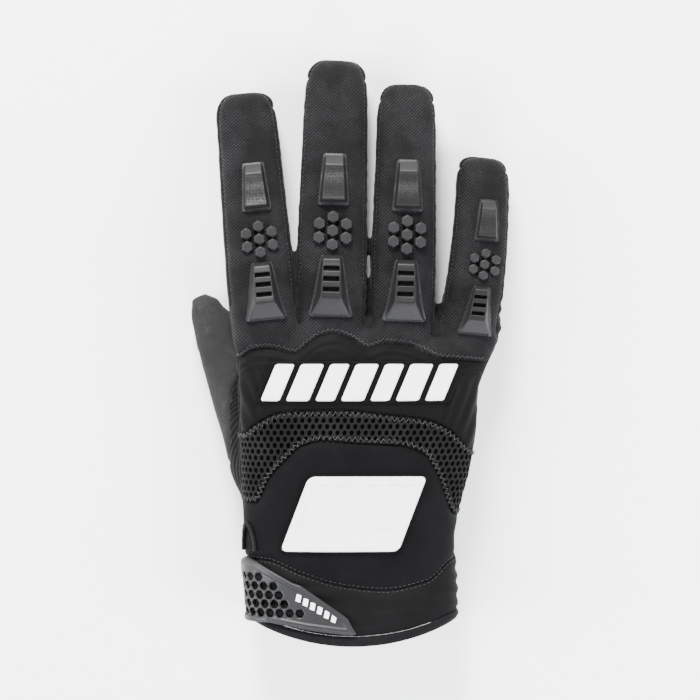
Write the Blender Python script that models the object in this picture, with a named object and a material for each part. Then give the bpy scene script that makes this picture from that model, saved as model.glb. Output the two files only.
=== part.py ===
"""A right-hand riding glove, lying palm down: a hollow hand with four fingers and a thumb, sewn from panels,
with moulded guards on the fingers, two badges on the back and a strap round the wrist.

Metres, +X to the little finger, +Y to the fingertips, +Z up. The origin is on the ground, under the heel of the
palm, where the glove rests flat. Along means the distance from the cuff's edge towards the fingertips."""

import math

import bmesh
import bpy
from mathutils import Vector

# The hand, from the cuff's edge to the crotches of the fingers
HAND_LENGTH = 0.130
HAND_WIDTH = 0.100
HAND_THICKNESS = 0.038
HAND_ROUNDNESS = 2.7
ORIGIN_ALONG = 0.066

# The cloth and what lies on it
WALL = 0.0018
SEAM_GAP = 0.0003
SEAT_GAP = 0.0003

# The digits. Lengths run from the crotch line to the tip, and widths and thicknesses are those of the root.
INDEX_LENGTH, INDEX_WIDTH, INDEX_THICKNESS = 0.097, 0.0270, 0.0235
MIDDLE_LENGTH, MIDDLE_WIDTH, MIDDLE_THICKNESS = 0.110, 0.0284, 0.0250
RING_LENGTH, RING_WIDTH, RING_THICKNESS = 0.1002, 0.0264, 0.0240
LITTLE_LENGTH, LITTLE_WIDTH, LITTLE_THICKNESS = 0.0700, 0.0236, 0.0215
THUMB_LENGTH, THUMB_WIDTH, THUMB_THICKNESS = 0.080, 0.040, 0.0150
FINGER_ROUNDNESS = 3.2
THUMB_ROUNDNESS = 2.3

# The moulded pieces
TIP_GUARD_LENGTH, TIP_GUARD_WIDTH, TIP_GUARD_HEIGHT = 0.0215, 0.0130, 0.0042
BASE_GUARD_LENGTH, BASE_GUARD_WIDTH, BASE_GUARD_HEIGHT = 0.0250, 0.0175, 0.0048
SLOT_WIDTH, SLOT_LENGTH, SLOT_DEPTH = 0.0019, 0.0066, 0.0014
STUD_ACROSS, STUD_PITCH, STUD_HEIGHT, STUD_WEB = 0.0048, 0.0057, 0.0020, 0.0006
BADGE_PLATE, BADGE_RELIEF = 0.0008, 0.0010
STRAP_THICKNESS = 0.0022
STRAP_HOLE_ACROSS, STRAP_HOLE_PITCH = 0.0036, 0.0052
PATCH_THICKNESS = 0.0012
BINDING_WIDTH = 0.0042
LOOP_TAPE = 0.0022  # the round tape of the pull loop

HAND_POINTS = 32
DIGIT_POINTS = 16

# A row for each section of the hand. along is a share of HAND_LENGTH, left and right of half HAND_WIDTH, and
# the heights are shares of HAND_THICKNESS. bow, skew and fall shift a section's sides, its top and the middle of
# its right half along the hand, as shares of HAND_LENGTH. seam is the height of the side seam, from -1 to 1.
HAND_SECTIONS = [
    dict(along=0.000, left=-0.855, right=0.852, low_left=0.03, low_right=0.01, top_left=0.97, top_right=0.91,
         bow=0.080, seam=0.0),
    dict(along=0.085, left=-0.868, right=0.856, low_left=0.01, low_right=-0.01, top_left=0.95, top_right=0.89,
         bow=0.056, seam=0.0),
    dict(along=0.200, left=-0.884, right=0.840, low_left=0.00, low_right=-0.02, top_left=0.91, top_right=0.86,
         bow=0.024, seam=0.0),
    dict(along=0.323, left=-0.890, right=0.822, low_left=-0.01, low_right=-0.03, top_left=0.89, top_right=0.84,
         seam=0.05),
    dict(along=0.430, left=-0.906, right=0.872, low_left=-0.02, low_right=-0.04, top_left=0.93, top_right=0.84,
         seam=0.10),
    dict(along=0.550, left=-0.916, right=0.952, low_left=-0.02, low_right=-0.04, top_left=0.98, top_right=0.85,
         seam=0.15),
    dict(along=0.690, left=-0.928, right=1.012, low_left=0.15, low_right=-0.04, top_left=1.02, top_right=0.84,
         seam=0.20),
    dict(along=0.800, left=-0.938, right=1.030, low_left=0.34, low_right=-0.03, top_left=1.03, top_right=0.81,
         seam=0.20),
    dict(along=0.900, left=-0.950, right=1.130, low_left=0.39, low_right=-0.01, top_left=1.03, top_right=0.76,
         seam=0.20),
    dict(along=0.970, left=-0.956, right=1.200, low_left=0.39, low_right=0.02, top_left=1.01, top_right=0.71,
         skew=0.030, fall=0.02, seam=0.20),
    dict(along=1.030, left=-0.950, right=1.220, low_left=0.38, low_right=0.04, top_left=0.97, top_right=0.66,
         skew=0.062, fall=0.04, seam=0.20),
    dict(along=1.062, left=-0.900, right=1.170, low_left=0.42, low_right=0.09, top_left=0.90, top_right=0.60,
         skew=0.066, fall=0.05, seam=0.20),
]

# A row for each section of a finger. along is a share of its length, side of its width, and low, rise and top
# are the underside's height as a share of the root's height, and of the thickness, and the upper side's.
FINGER_SECTIONS = [
    dict(along=-0.17, side=0.76, low=1.10, rise=0.14, top=0.76),
    dict(along=-0.04, side=1.00, low=1.02, rise=0.00, top=0.97),
    dict(along=0.14, side=1.02, low=0.86, rise=0.01, top=1.00),
    dict(along=0.36, side=1.00, low=0.58, rise=0.02, top=0.97),
    dict(along=0.60, side=0.96, low=0.24, rise=0.01, top=0.91),
    dict(along=0.82, side=0.93, low=0.00, rise=-0.04, top=0.83),
    dict(along=0.91, side=0.89, low=0.00, rise=-0.02, top=0.78),
    dict(along=0.96, side=0.80, low=0.00, rise=0.06, top=0.71),
    dict(along=0.99, side=0.61, low=0.00, rise=0.19, top=0.61),
    dict(along=1.00, side=0.44, low=0.00, rise=0.29, top=0.53),
]

THUMB_SECTIONS = [
    dict(along=-0.14, side=1.02, low=0.0, rise=0.02, top=1.60),
    dict(along=0.05, side=1.04, low=0.0, rise=-0.03, top=1.52),
    dict(along=0.25, side=0.90, low=0.0, rise=-0.05, top=1.22),
    dict(along=0.45, side=0.75, low=0.0, rise=-0.05, top=1.02),
    dict(along=0.65, side=0.60, low=0.0, rise=-0.05, top=0.92),
    dict(along=0.82, side=0.45, low=0.0, rise=-0.02, top=0.85),
    dict(along=0.93, side=0.32, low=0.0, rise=0.08, top=0.77),
    dict(along=1.00, side=0.14, low=0.0, rise=0.26, top=0.58),
]

# side is the root's place as a share of half HAND_WIDTH, lean is in degrees to the little finger's side, bend is
# how far the middle swings out as a share of the length, and low the root's height as a share of HAND_THICKNESS.
DIGITS = {
    "index": dict(side=-0.722, start=1.0, lean=-5.5, bend=0.0, low=0.345, length=INDEX_LENGTH, width=INDEX_WIDTH,
                  thickness=INDEX_THICKNESS, sections=FINGER_SECTIONS, roundness=FINGER_ROUNDNESS),
    "middle": dict(side=-0.197, start=1.0, lean=1.55, bend=0.0, low=0.245, length=MIDDLE_LENGTH, width=MIDDLE_WIDTH,
                   thickness=MIDDLE_THICKNESS, sections=FINGER_SECTIONS, roundness=FINGER_ROUNDNESS),
    "ring": dict(side=0.388, start=1.0, lean=1.55, bend=0.004, low=0.145, length=RING_LENGTH, width=RING_WIDTH,
                 thickness=RING_THICKNESS, sections=FINGER_SECTIONS, roundness=FINGER_ROUNDNESS),
    "little": dict(side=0.950, start=1.0, lean=5.2, bend=0.022, low=0.055, length=LITTLE_LENGTH, width=LITTLE_WIDTH,
                   thickness=LITTLE_THICKNESS, sections=FINGER_SECTIONS, roundness=FINGER_ROUNDNESS),
    "thumb": dict(side=-0.570, start=0.545, lean=-26.8, bend=0.0, low=0.0, length=THUMB_LENGTH, width=THUMB_WIDTH,
                  thickness=THUMB_THICKNESS, sections=THUMB_SECTIONS, roundness=THUMB_ROUNDNESS),
}
FINGERS = ["index", "middle", "ring", "little"]

# Seams of the back, from the thumb's side to the little finger's: side as a share of half HAND_WIDTH, and along
KNUCKLE_SEAM = [(-1.30, 0.897), (-0.94, 0.897), (-0.82, 0.925), (-0.71, 0.930), (-0.61, 0.925), (-0.48, 0.912),
                (-0.38, 0.940), (-0.27, 0.968), (-0.16, 0.976), (-0.02, 0.960), (0.12, 0.929), (0.26, 0.945),
                (0.43, 0.940), (0.57, 0.920), (0.71, 0.897), (0.86, 0.892), (1.30, 0.880)]
MESH_UPPER_SEAM = [(-1.30, 0.666), (-0.89, 0.666), (-0.79, 0.692), (-0.61, 0.727), (-0.44, 0.735), (-0.09, 0.736),
                   (0.25, 0.723), (0.60, 0.705), (0.77, 0.675), (0.95, 0.614), (1.30, 0.580)]
MESH_LOWER_SEAM = [(-1.30, 0.440), (-0.80, 0.446), (-0.70, 0.519), (-0.56, 0.579), (-0.41, 0.627), (-0.26, 0.640),
                   (0.08, 0.632), (0.34, 0.627), (0.57, 0.600), (0.70, 0.527), (0.83, 0.405), (1.30, 0.390)]
CUFF_SEAM = [(-1.30, 0.275), (-0.71, 0.265), (-0.44, 0.226), (-0.09, 0.187), (0.25, 0.174), (0.60, 0.200),
             (0.83, 0.265), (1.30, 0.275)]
PALM_CUFF_SEAM = [(-1.30, 0.265), (0.0, 0.275), (0.60, 0.300), (1.30, 0.312)]
PALM_SPLIT_HEIGHT = 0.45  # where the cuff's two seams meet at its sides, as a share of HAND_THICKNESS

GUSSET_LOW, GUSSET_TOP = -0.42, 0.38  # the heights of a finger's side seams, from -1 to 1
GUSSET_END = 0.93  # where a side strip ends, as a share of the finger's length
THUMB_BACK_INNER, THUMB_BACK_TOP = 0.05, 0.10  # the thumb's back panel ends here, in its section's own units

# Outlines on the hand, as shares of half HAND_WIDTH and of HAND_LENGTH
STRAP_BACK = [(-1.25, 0.257), (-0.916, 0.257), (-0.838, 0.275), (-0.758, 0.258), (-0.476, 0.196), (-0.418, 0.189),
              (-0.056, 0.089), (0.012, 0.040), (-0.028, 0.035), (-0.384, 0.052), (-0.690, 0.074), (-1.25, 0.086)]
STRAP_PALM = [(-1.25, 0.210), (-0.98, 0.200), (-0.60, 0.136), (-0.426, 0.052), (-0.49, 0.042), (-0.816, 0.074),
              (-1.25, 0.086)]
LOOP_PATCH = [(-0.958, 0.247), (-0.224, 0.247), (-0.028, 0.158), (-0.05, 0.136), (-0.426, 0.095), (-0.958, 0.092)]
RIB_PANEL = [(-1.03, 0.28), (-1.03, 0.72), (-1.00, 0.80), (-0.93, 0.845), (-0.72, 0.845), (-0.72, 0.28)]
BAND_BADGE = dict(side=0.05, along=0.822, width=1.55, height=0.115, lean=0.42, bars=7)
BACK_BADGE = dict(side=0.00, along=0.412, width=0.96, height=0.235, lean=0.38)

STUD_RING = [(0, 0), (0, 1), (0, -1), (0.95, 0.5), (0.95, -0.5), (-0.95, 0.5), (-0.95, -0.5)]
# Where each finger's pieces sit: distance from its tip to the far edge of its tip guard, to the middle of its
# studs and to the far edge of its base guard, how far they lie to the little finger's side, and their size.
GUARD_PLACES = {
    "index": dict(tip_guard=0.0300, studs=0.0620, base_guard=0.0715, side=0.0012, size=0.94),
    "middle": dict(tip_guard=0.0395, studs=0.0715, base_guard=0.0815, side=0.0003, size=1.0),
    "ring": dict(tip_guard=0.0320, studs=0.0632, base_guard=0.0735, side=0.0010, size=1.0),
    "little": dict(tip_guard=0.0175, studs=0.0445, base_guard=0.0536, side=0.0024, size=0.80),
}

COLOURS = {
    "knit": ((0.020, 0.020, 0.022), 0.85, 0.0),
    "suede": ((0.028, 0.028, 0.029), 0.95, 0.0),
    "gusset": ((0.032, 0.028, 0.029), 0.80, 0.0),
    "rubber": ((0.045, 0.046, 0.048), 0.45, 0.0),
    "white_rubber": ((0.82, 0.82, 0.82), 0.40, 0.0),
    "neoprene": ((0.018, 0.018, 0.019), 0.75, 0.0),
}


def clear_scene():
    for obj in list(bpy.data.objects):
        bpy.data.objects.remove(obj)


def new_collection(name, hidden):
    made = bpy.data.collections.new(name)
    bpy.context.scene.collection.children.link(made)
    made.hide_render = hidden
    return made


def material(name):
    made = bpy.data.materials.get(name)
    if made is None:
        colour, roughness, metallic = COLOURS[name]
        made = bpy.data.materials.new(name)
        made.use_nodes = True
        shader = made.node_tree.nodes["Principled BSDF"]
        shader.inputs["Base Color"].default_value = (*colour, 1)
        shader.inputs["Roughness"].default_value = roughness
        shader.inputs["Metallic"].default_value = metallic
    return made


def mix(a, b, share):
    return a + (b - a) * share


def mesh_object(name, mesh):
    made = bpy.data.objects.new(name, mesh)
    WORK.objects.link(made)
    made.hide_render = True
    made.display_type = "WIRE"
    return made


def loft(name, rings):
    """A closed solid through rings of as many points each, with a point in the middle of each end."""
    shape = bmesh.new()
    rows = [[shape.verts.new(point) for point in ring] for ring in rings]
    count = len(rows[0])
    for row, following in zip(rows, rows[1:]):
        for i in range(count):
            j = (i + 1) % count
            shape.faces.new((row[i], row[j], following[j]))
            shape.faces.new((row[i], following[j], following[i]))
    for row in (rows[0], rows[-1]):
        middle = shape.verts.new(sum((v.co for v in row), Vector()) / count)
        for i in range(count):
            shape.faces.new((row[i], row[(i + 1) % count], middle))
    bmesh.ops.recalc_face_normals(shape, faces=shape.faces)
    mesh = bpy.data.meshes.new(name)
    shape.to_mesh(mesh)
    shape.free()
    return mesh_object(name, mesh)


def applied(obj, operation, other):
    """obj with another object joined to it or cut from it, as a new mesh on obj."""
    step = obj.modifiers.new(operation, "BOOLEAN")
    step.operation = operation
    step.solver = "MANIFOLD"
    step.object = other
    bpy.context.view_layer.update()
    mesh = bpy.data.meshes.new_from_object(obj.evaluated_get(bpy.context.evaluated_depsgraph_get()))
    obj.modifiers.clear()
    obj.data = mesh
    return obj


def union(first, *others):
    for other in others:
        applied(first, "UNION", other)
        bpy.data.objects.remove(other)
    return first


def copied(obj, name):
    return mesh_object(name, obj.data.copy())


def piece(name, base, keep, drop, finish):
    """The part of base inside every keep and outside every drop, as one of the glove's pieces."""
    made = copied(base, name)
    for cutter in keep:
        applied(made, "INTERSECT", cutter)
    for cutter in drop:
        applied(made, "DIFFERENCE", cutter)
    return finished(made, finish)


def finished(obj, finish):
    """Moves obj from the working shapes to the glove, drops slivers that a cut left, and gives it its finish."""
    shape = bmesh.new()
    shape.from_mesh(obj.data)
    islands = islands_of(shape)
    islands.sort(key=lambda faces: sum(face.calc_area() for face in faces))
    loose = [face for faces in islands[:-1] for face in faces]
    if loose:
        bmesh.ops.delete(shape, geom=loose, context="FACES")
    shape.to_mesh(obj.data)
    shape.free()
    WORK.objects.unlink(obj)
    GLOVE.objects.link(obj)
    obj.hide_render = False
    obj.display_type = "TEXTURED"
    obj.data.materials.clear()
    obj.data.materials.append(material(finish))
    obj.data.shade_smooth()
    obj.data.set_sharp_from_angle(angle=math.radians(35))
    return obj


def islands_of(shape):
    unseen, islands = set(shape.faces), []
    while unseen:
        stack = [unseen.pop()]
        island = []
        while stack:
            face = stack.pop()
            island.append(face)
            for edge in face.edges:
                for neighbour in edge.link_faces:
                    if neighbour in unseen:
                        unseen.remove(neighbour)
                        stack.append(neighbour)
        islands.append(island)
    return islands


def rounded(angle, roundness):
    """A point of a ring of half-size 1. A roundness of 2 makes an ellipse, and more a boxier ring."""
    across, up = math.cos(angle), math.sin(angle)
    return (
        math.copysign(abs(across) ** (2 / roundness), across),
        math.copysign(abs(up) ** (2 / roundness), up),
    )


def ring_of(place, count, roundness):
    return [place(*rounded(2 * math.pi * i / count, roundness)) for i in range(count)]


# The hand's surface

def hand_place(row, u, v, grow=0.0):
    """The point at u across and v up, each from -1 to 1, of a section of the hand grown by grow."""
    share = (u + 1) / 2
    half = HAND_WIDTH / 2
    low = mix(row["low_left"], row["low_right"], share) * HAND_THICKNESS - grow
    top = mix(row["top_left"], row["top_right"], share) * HAND_THICKNESS + grow
    dip = 4 * u * (1 - u) if u > 0 else 0
    shift = row.get("bow", 0) * u * u - row.get("skew", 0) * v - row.get("fall", 0) * dip
    return Vector((
        mix(row["left"] * half - grow, row["right"] * half + grow, share),
        (row["along"] + shift) * HAND_LENGTH - ORIGIN_ALONG,
        mix(low, top, (v + 1) / 2),
    ))


def moved_along(ring, distance):
    return [point + Vector((0, distance, 0)) for point in ring]


def hand_rings(grow, longer):
    rings = [
        ring_of(lambda u, v, row=row: hand_place(row, u, v, grow), HAND_POINTS, HAND_ROUNDNESS)
        for row in HAND_SECTIONS
    ]
    rings[-1] = moved_along(rings[-1], grow)
    return [moved_along(rings[0], -longer), *rings] if longer else rings


def hand_row_at(along):
    """The section of the hand at a share of its length, between the two rows that are nearest."""
    for row, following in zip(HAND_SECTIONS, HAND_SECTIONS[1:]):
        if along <= following["along"]:
            break
    share = (along - row["along"]) / (following["along"] - row["along"])
    return {key: mix(row.get(key, 0), following.get(key, 0), share) for key in following}


# The digits' surfaces

def digit_frame(digit):
    """The root's middle, the way to the tip and the way across to the little finger's side."""
    lean = math.radians(digit["lean"])
    root = Vector((digit["side"] * HAND_WIDTH / 2, digit["start"] * HAND_LENGTH - ORIGIN_ALONG, 0))
    return root, Vector((math.sin(lean), math.cos(lean), 0)), Vector((math.cos(lean), -math.sin(lean), 0))


def digit_place(digit, row, u, v, grow=0.0):
    root, ahead, across = digit_frame(digit)
    along = row["along"]
    reach = along * digit["length"] + (grow if along == 1 else 0)
    bend = 4 * along * (1 - along) * digit["bend"] * digit["length"] if along > 0 else 0
    underside = digit["low"] * HAND_THICKNESS * row["low"]
    low = underside + row["rise"] * digit["thickness"] - grow
    top = underside + row["top"] * digit["thickness"] + grow
    half = row["side"] * digit["width"] / 2 + grow
    flat = root + ahead * reach + across * (bend + u * half)
    return Vector((flat.x, flat.y, mix(low, top, (v + 1) / 2)))


def digit_rings(digit, grow):
    return [
        ring_of(lambda u, v, row=row: digit_place(digit, row, u, v, grow), DIGIT_POINTS, digit["roundness"])
        for row in digit["sections"]
    ]


def digit_row_at(digit, along):
    rows = digit["sections"]
    for row, following in zip(rows, rows[1:]):
        if along <= following["along"]:
            break
    share = (along - row["along"]) / (following["along"] - row["along"])
    return {key: mix(row[key], following[key], share) for key in row}


def box(name, low, high):
    shape = bmesh.new()
    bmesh.ops.create_cube(shape, size=1)
    low, high = Vector(low), Vector(high)
    for vertex in shape.verts:
        vertex.co = Vector(mix(a, b, c + 0.5) for a, b, c in zip(low, high, vertex.co))
    mesh = bpy.data.meshes.new(name)
    shape.to_mesh(mesh)
    shape.free()
    return mesh_object(name, mesh)


def floor_cutter(level):
    return box("floor", (-0.2, -0.3, level - 0.05), (0.2, 0.3, level))


def skin(name, grow, longer=0.0, digits=tuple(DIGITS)):
    """The whole outside of the glove grown by grow, pressed flat where it meets the ground."""
    hand = loft(name, hand_rings(grow, longer))
    union(hand, *(loft(f"{name}_{key}", digit_rings(DIGITS[key], grow)) for key in digits))
    floor = floor_cutter(-grow)
    applied(hand, "DIFFERENCE", floor)
    bpy.data.objects.remove(floor)
    return hand


# Cutters. Each is grown by slack, so that a piece kept with minus half the gap meets one cut with plus half.

def on_hand(side, along):
    return Vector((side * HAND_WIDTH / 2, along * HAND_LENGTH - ORIGIN_ALONG, 0))


def prism(name, outline, low, high):
    """An upright solid over a flat outline of points."""
    return loft(name, [[Vector((p.x, p.y, z)) for p in outline] for z in (low, high)])


def grown_outline(points, slack):
    """A closed outline moved outwards by slack at each corner."""
    area = sum(a.x * b.y - b.x * a.y for a, b in zip(points, points[1:] + points[:1]))
    turn = 1 if area > 0 else -1
    made = []
    for i, point in enumerate(points):
        before, after = (point - points[i - 1]).normalized(), (points[(i + 1) % len(points)] - point).normalized()
        normal = Vector((before.y + after.y, -before.x - after.x, 0)) * turn
        normal.normalize()
        made.append(point + normal * slack / max(0.4, normal.dot(Vector((before.y, -before.x, 0)) * turn)))
    return made


def zone_cutter(name, lower, upper, slack, low=-0.05, high=0.10):
    """The upright solid between two seams that run from side to side; None is an end of the glove."""
    ends = [(-1.30, -0.5), (1.30, -0.5)] if lower is None else lower
    tops = [(-1.30, 2.6), (1.30, 2.6)] if upper is None else upper
    near = [on_hand(*p) - Vector((0, slack, 0)) for p in ends]
    far = [on_hand(*p) + Vector((0, slack, 0)) for p in tops]
    outline = near + far[::-1]
    for point in outline:
        point.x *= 1.6 if abs(point.x) > 0.6 * HAND_WIDTH else 1.0
    return prism(name, outline, low, high)


def slab_ring(place, u_low, u_high, v_low, v_high, slack):
    """Four corners of a section, grown sideways and in height by slack."""
    return [
        place(u_low, v_low) + Vector((-slack, 0, -slack)),
        place(u_high, v_low) + Vector((slack, 0, -slack)),
        place(u_high, v_high) + Vector((slack, 0, slack)),
        place(u_low, v_high) + Vector((-slack, 0, slack)),
    ]


def stretched(rings, ahead, slack):
    """The rings with both ends moved out by slack along the way ahead."""
    return [
        [p - ahead * slack for p in rings[0]],
        *rings[1:-1],
        [p + ahead * slack for p in rings[-1]],
    ]


def roof_cutter(name, slack):
    """Everything above the side seams of the hand and the fingers."""
    far = 3.0
    first = HAND_SECTIONS[0]
    rows = [dict(row, bow=0, skew=0, fall=0) for row in (dict(first, along=first["along"] - 0.2), *HAND_SECTIONS)]
    made = loft(name, [
        slab_ring(lambda u, v, row=row: hand_place(row, u, v), -1.25, 1.25, row["seam"], far, slack)
        for row in rows
    ])
    for key in FINGERS:
        digit = DIGITS[key]
        rows = [*digit["sections"], dict(digit["sections"][-1], along=1.10)]
        edge = 1 + SEAT_GAP * 2 / digit["width"]
        rings = [
            slab_ring(lambda u, v, row=row: digit_place(digit, row, u, v), -edge, edge, GUSSET_TOP, far, slack)
            for row in (dict(r, side=max(r["side"], 0.80)) for r in rows)
        ]
        union(made, loft(f"{name}_{key}", stretched(rings, digit_frame(digit)[1], slack)))
    return made


def side_slab(name, key, right, slack, start=-0.04, end=GUSSET_END):
    """One side wall of a finger between its two seams."""
    digit = DIGITS[key]
    edge = 1 + SEAT_GAP / digit["width"]
    u_low, u_high = (0.35, edge) if right else (-edge, -0.35)
    stops = [start, *(r["along"] for r in digit["sections"] if start < r["along"] < end), end]
    rings = []
    for along in stops:
        row = digit_row_at(digit, along)
        rings.append(slab_ring(lambda u, v: digit_place(digit, row, u, v), u_low, u_high, GUSSET_LOW, GUSSET_TOP, slack))
    return loft(name, stretched(rings, digit_frame(digit)[1], slack))


def web_block(name, key, following, slack):
    """The web at the crotch of two fingers, below the back's edge and above the palm's."""
    left, right = DIGITS[key], DIGITS[following]
    near, far = digit_row_at(left, 0.0), digit_row_at(right, 0.0)
    a = digit_place(left, near, 0.55, GUSSET_LOW)
    b = digit_place(right, far, -0.55, GUSSET_LOW)
    top = min(digit_place(left, near, 0.55, 0.62).z, digit_place(right, far, -0.55, 0.62).z)
    low = max(a.z, b.z)
    back = HAND_LENGTH * 0.93 - ORIGIN_ALONG
    front = HAND_LENGTH * 1.25 - ORIGIN_ALONG
    return box(name, (a.x - slack, back - slack, low - slack), (b.x + slack, front + slack, top + slack))


def gusset_cutter(name, key, following, slack):
    return union(
        side_slab(name, key, True, slack),
        side_slab(f"{name}_far", following, False, slack),
        web_block(f"{name}_web", key, following, slack),
    )


def outer_gusset_cutter(name, slack):
    """The little finger's outer side, running out along the edge of the hand."""
    made = side_slab(name, "little", True, slack)
    rows = [hand_row_at(along) for along in (0.72, 0.80, 0.88, 0.97, 1.03)]
    share = [0.0, 0.5, 0.8, 1.0, 1.0]
    rings = [
        slab_ring(lambda u, v, row=row: hand_place(row, u, v), 0.80, 1.06, mix(0.12, -0.40, part), row["seam"], slack)
        for row, part in zip(rows, share)
    ]
    return union(made, loft(f"{name}_hand", stretched(rings, Vector((0, 1, 0)), slack)))


def thumb_cutter(name, slack):
    """The thumb's own cloth, cut off the palm along its inner edge."""
    digit = DIGITS["thumb"]
    rings = []
    for along in (0.10, 0.25, 0.42, 0.60, 0.76, 0.88, 0.955, 1.06):
        row = digit_row_at(digit, min(along, 1.0))
        row = dict(row, along=along, side=max(row["side"], 0.30), rise=-0.6)
        rings.append(slab_ring(lambda u, v: digit_place(digit, row, u, v), -1.5, 1.02, -1.0, 1.05, slack))
    return loft(name, stretched(rings, digit_frame(digit)[1], slack))


def thumb_back_cutter(name, slack):
    """The outer and under side of the thumb, which a coarser cloth covers."""
    digit = DIGITS["thumb"]
    rings = []
    for along in (-0.12, 0.10, 0.25, 0.42, 0.60, 0.76, 0.88, 0.96):
        row = digit_row_at(digit, along)
        rings.append(slab_ring(
            lambda u, v: digit_place(digit, row, u, v), -1.6, THUMB_BACK_INNER, -1.6, THUMB_BACK_TOP, slack
        ))
    return loft(name, stretched(rings, digit_frame(digit)[1], slack))


def rib_cutter(name, slack):
    outline = grown_outline([on_hand(*p) for p in RIB_PANEL], slack)
    return prism(name, outline, 0.008 - slack, 0.06)


def cuff_cutter(name, slack):
    split = PALM_SPLIT_HEIGHT * HAND_THICKNESS
    return union(
        zone_cutter(name, None, CUFF_SEAM, slack, split - 0.0002, 0.10),
        zone_cutter(f"{name}_palm", None, PALM_CUFF_SEAM, slack, -0.05, split),
    )


# Moulded pieces on the fingers

def digit_top(digit, along, u, grow=0.0):
    """The height of a finger's upper side at a share of its length and a place across it."""
    row = digit_row_at(digit, along)
    v = (1 - min(abs(u), 0.999) ** digit["roundness"]) ** (1 / digit["roundness"])
    return digit_place(digit, row, u, v, grow)


def guard_ring(digit, along, side, half_base, half_top, height):
    """Four corners of a guard's section, from inside the finger to its raised face."""
    root, ahead, across = digit_frame(digit)
    crown = digit_top(digit, along, 0)
    middle = Vector((crown.x, crown.y, 0)) + across * side
    return [
        middle - across * half_base + Vector((0, 0, crown.z - 0.005)),
        middle + across * half_base + Vector((0, 0, crown.z - 0.005)),
        middle + across * half_top + Vector((0, 0, crown.z + height)),
        middle - across * half_top + Vector((0, 0, crown.z + height)),
    ]


# From its far edge to its near one: along as a share of its length, and shares of half its width and height
TIP_GUARD_SECTIONS = [
    dict(along=0.00, base=0.70, face=0.62, height=0.20),
    dict(along=0.13, base=0.76, face=0.58, height=1.00),
    dict(along=0.88, base=0.98, face=0.74, height=0.90),
    dict(along=1.00, base=1.00, face=0.88, height=0.20),
]
BASE_GUARD_SECTIONS = [
    dict(along=0.00, base=0.52, face=0.46, height=0.20),
    dict(along=0.07, base=0.56, face=0.42, height=0.72),
    dict(along=0.70, base=0.84, face=0.47, height=1.00),
    dict(along=1.00, base=1.06, face=0.90, height=0.20),
]


def guard(name, digit, start, side, length, width, height, sections):
    """A raised block on a finger, from start short of its tip and on towards its root."""
    rings = []
    for row in sections:
        along = 1 - (start + row["along"] * length) / digit["length"]
        rings.append(guard_ring(
            digit, along, side, row["base"] * width / 2, row["face"] * width / 2, row["height"] * height
        ))
    return loft(name, rings)


def slot_cutter(name, digit, distance, side, size):
    """A groove across a base guard's raised face."""
    root, ahead, across = digit_frame(digit)
    crown = digit_top(digit, 1 - distance / digit["length"], 0)
    middle = Vector((crown.x, crown.y, 0)) + across * side
    floor = crown.z + BASE_GUARD_HEIGHT * size * 0.86 - SLOT_DEPTH
    right, far = across * (size * SLOT_LENGTH / 2), ahead * (size * SLOT_WIDTH / 2)
    flat = [middle - right - far, middle + right - far, middle + right + far, middle - right + far]
    return prism(name, flat, floor, floor + 0.01)


def hexagon(middle, across_flats, turn=0.0):
    radius = across_flats / math.sqrt(3)
    return [
        middle + Vector((math.cos(turn + math.pi / 3 * i), math.sin(turn + math.pi / 3 * i), 0)) * radius
        for i in range(6)
    ]


def stud_cluster(name, digit, distance, side):
    """Seven six-sided studs on a thin web."""
    root, ahead, across = digit_frame(digit)
    along = 1 - distance / digit["length"]
    crown = digit_top(digit, along, 0)
    middle = Vector((crown.x, crown.y, 0)) + across * side
    turn = -math.radians(digit["lean"])
    made = prism(name, hexagon(middle, STUD_PITCH * 2.6, turn), crown.z - 0.006, crown.z + STUD_WEB)
    for i, (a, b) in enumerate(STUD_RING):
        place = middle + across * (a * STUD_PITCH) + ahead * (b * STUD_PITCH)
        u = (side + a * STUD_PITCH) / (digit["width"] / 2)
        top = digit_top(digit, along, max(-0.9, min(0.9, u))).z
        stud = prism(f"{name}_{i}", hexagon(place, STUD_ACROSS, turn), crown.z - 0.0055, top + STUD_HEIGHT)
        union(made, stud)
    return made


def make_finger_pieces(seat):
    for key in FINGERS:
        digit, place = DIGITS[key], GUARD_PLACES[key]
        side, size = place["side"], place["size"]
        tip = guard(
            f"{key}_tip_guard", digit, place["tip_guard"], side, size * TIP_GUARD_LENGTH,
            size * TIP_GUARD_WIDTH, size * TIP_GUARD_HEIGHT, TIP_GUARD_SECTIONS,
        )
        base = guard(
            f"{key}_base_guard", digit, place["base_guard"], side, size * BASE_GUARD_LENGTH,
            size * BASE_GUARD_WIDTH, size * BASE_GUARD_HEIGHT, BASE_GUARD_SECTIONS,
        )
        for share in (0.22, 0.39, 0.56):
            distance = place["base_guard"] + share * size * BASE_GUARD_LENGTH
            slot = slot_cutter("slot", digit, distance, side, size)
            applied(base, "DIFFERENCE", slot)
            bpy.data.objects.remove(slot)
        studs = stud_cluster(f"{key}_studs", digit, place["studs"], side)
        for made in (tip, base, studs):
            applied(made, "DIFFERENCE", seat)
            finished(made, "rubber")


# Pieces on the hand

def hand_sheet(name, inner, outer):
    """A sheet that follows the hand, from one distance off its surface to another."""
    made = loft(name, hand_rings(outer, 0.02))
    core = loft(f"{name}_core", hand_rings(inner, 0.04))
    applied(made, "DIFFERENCE", core)
    bpy.data.objects.remove(core)
    return made


def leaning_bar(middle, width, height, lean):
    """A slanted four-sided outline."""
    shift = Vector((lean * height / 2, 0, 0))
    half, up = Vector((width / 2, 0, 0)), Vector((0, height / 2, 0))
    return [middle - half - up - shift, middle + half - up - shift, middle + half + up + shift, middle - half + up + shift]


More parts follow.
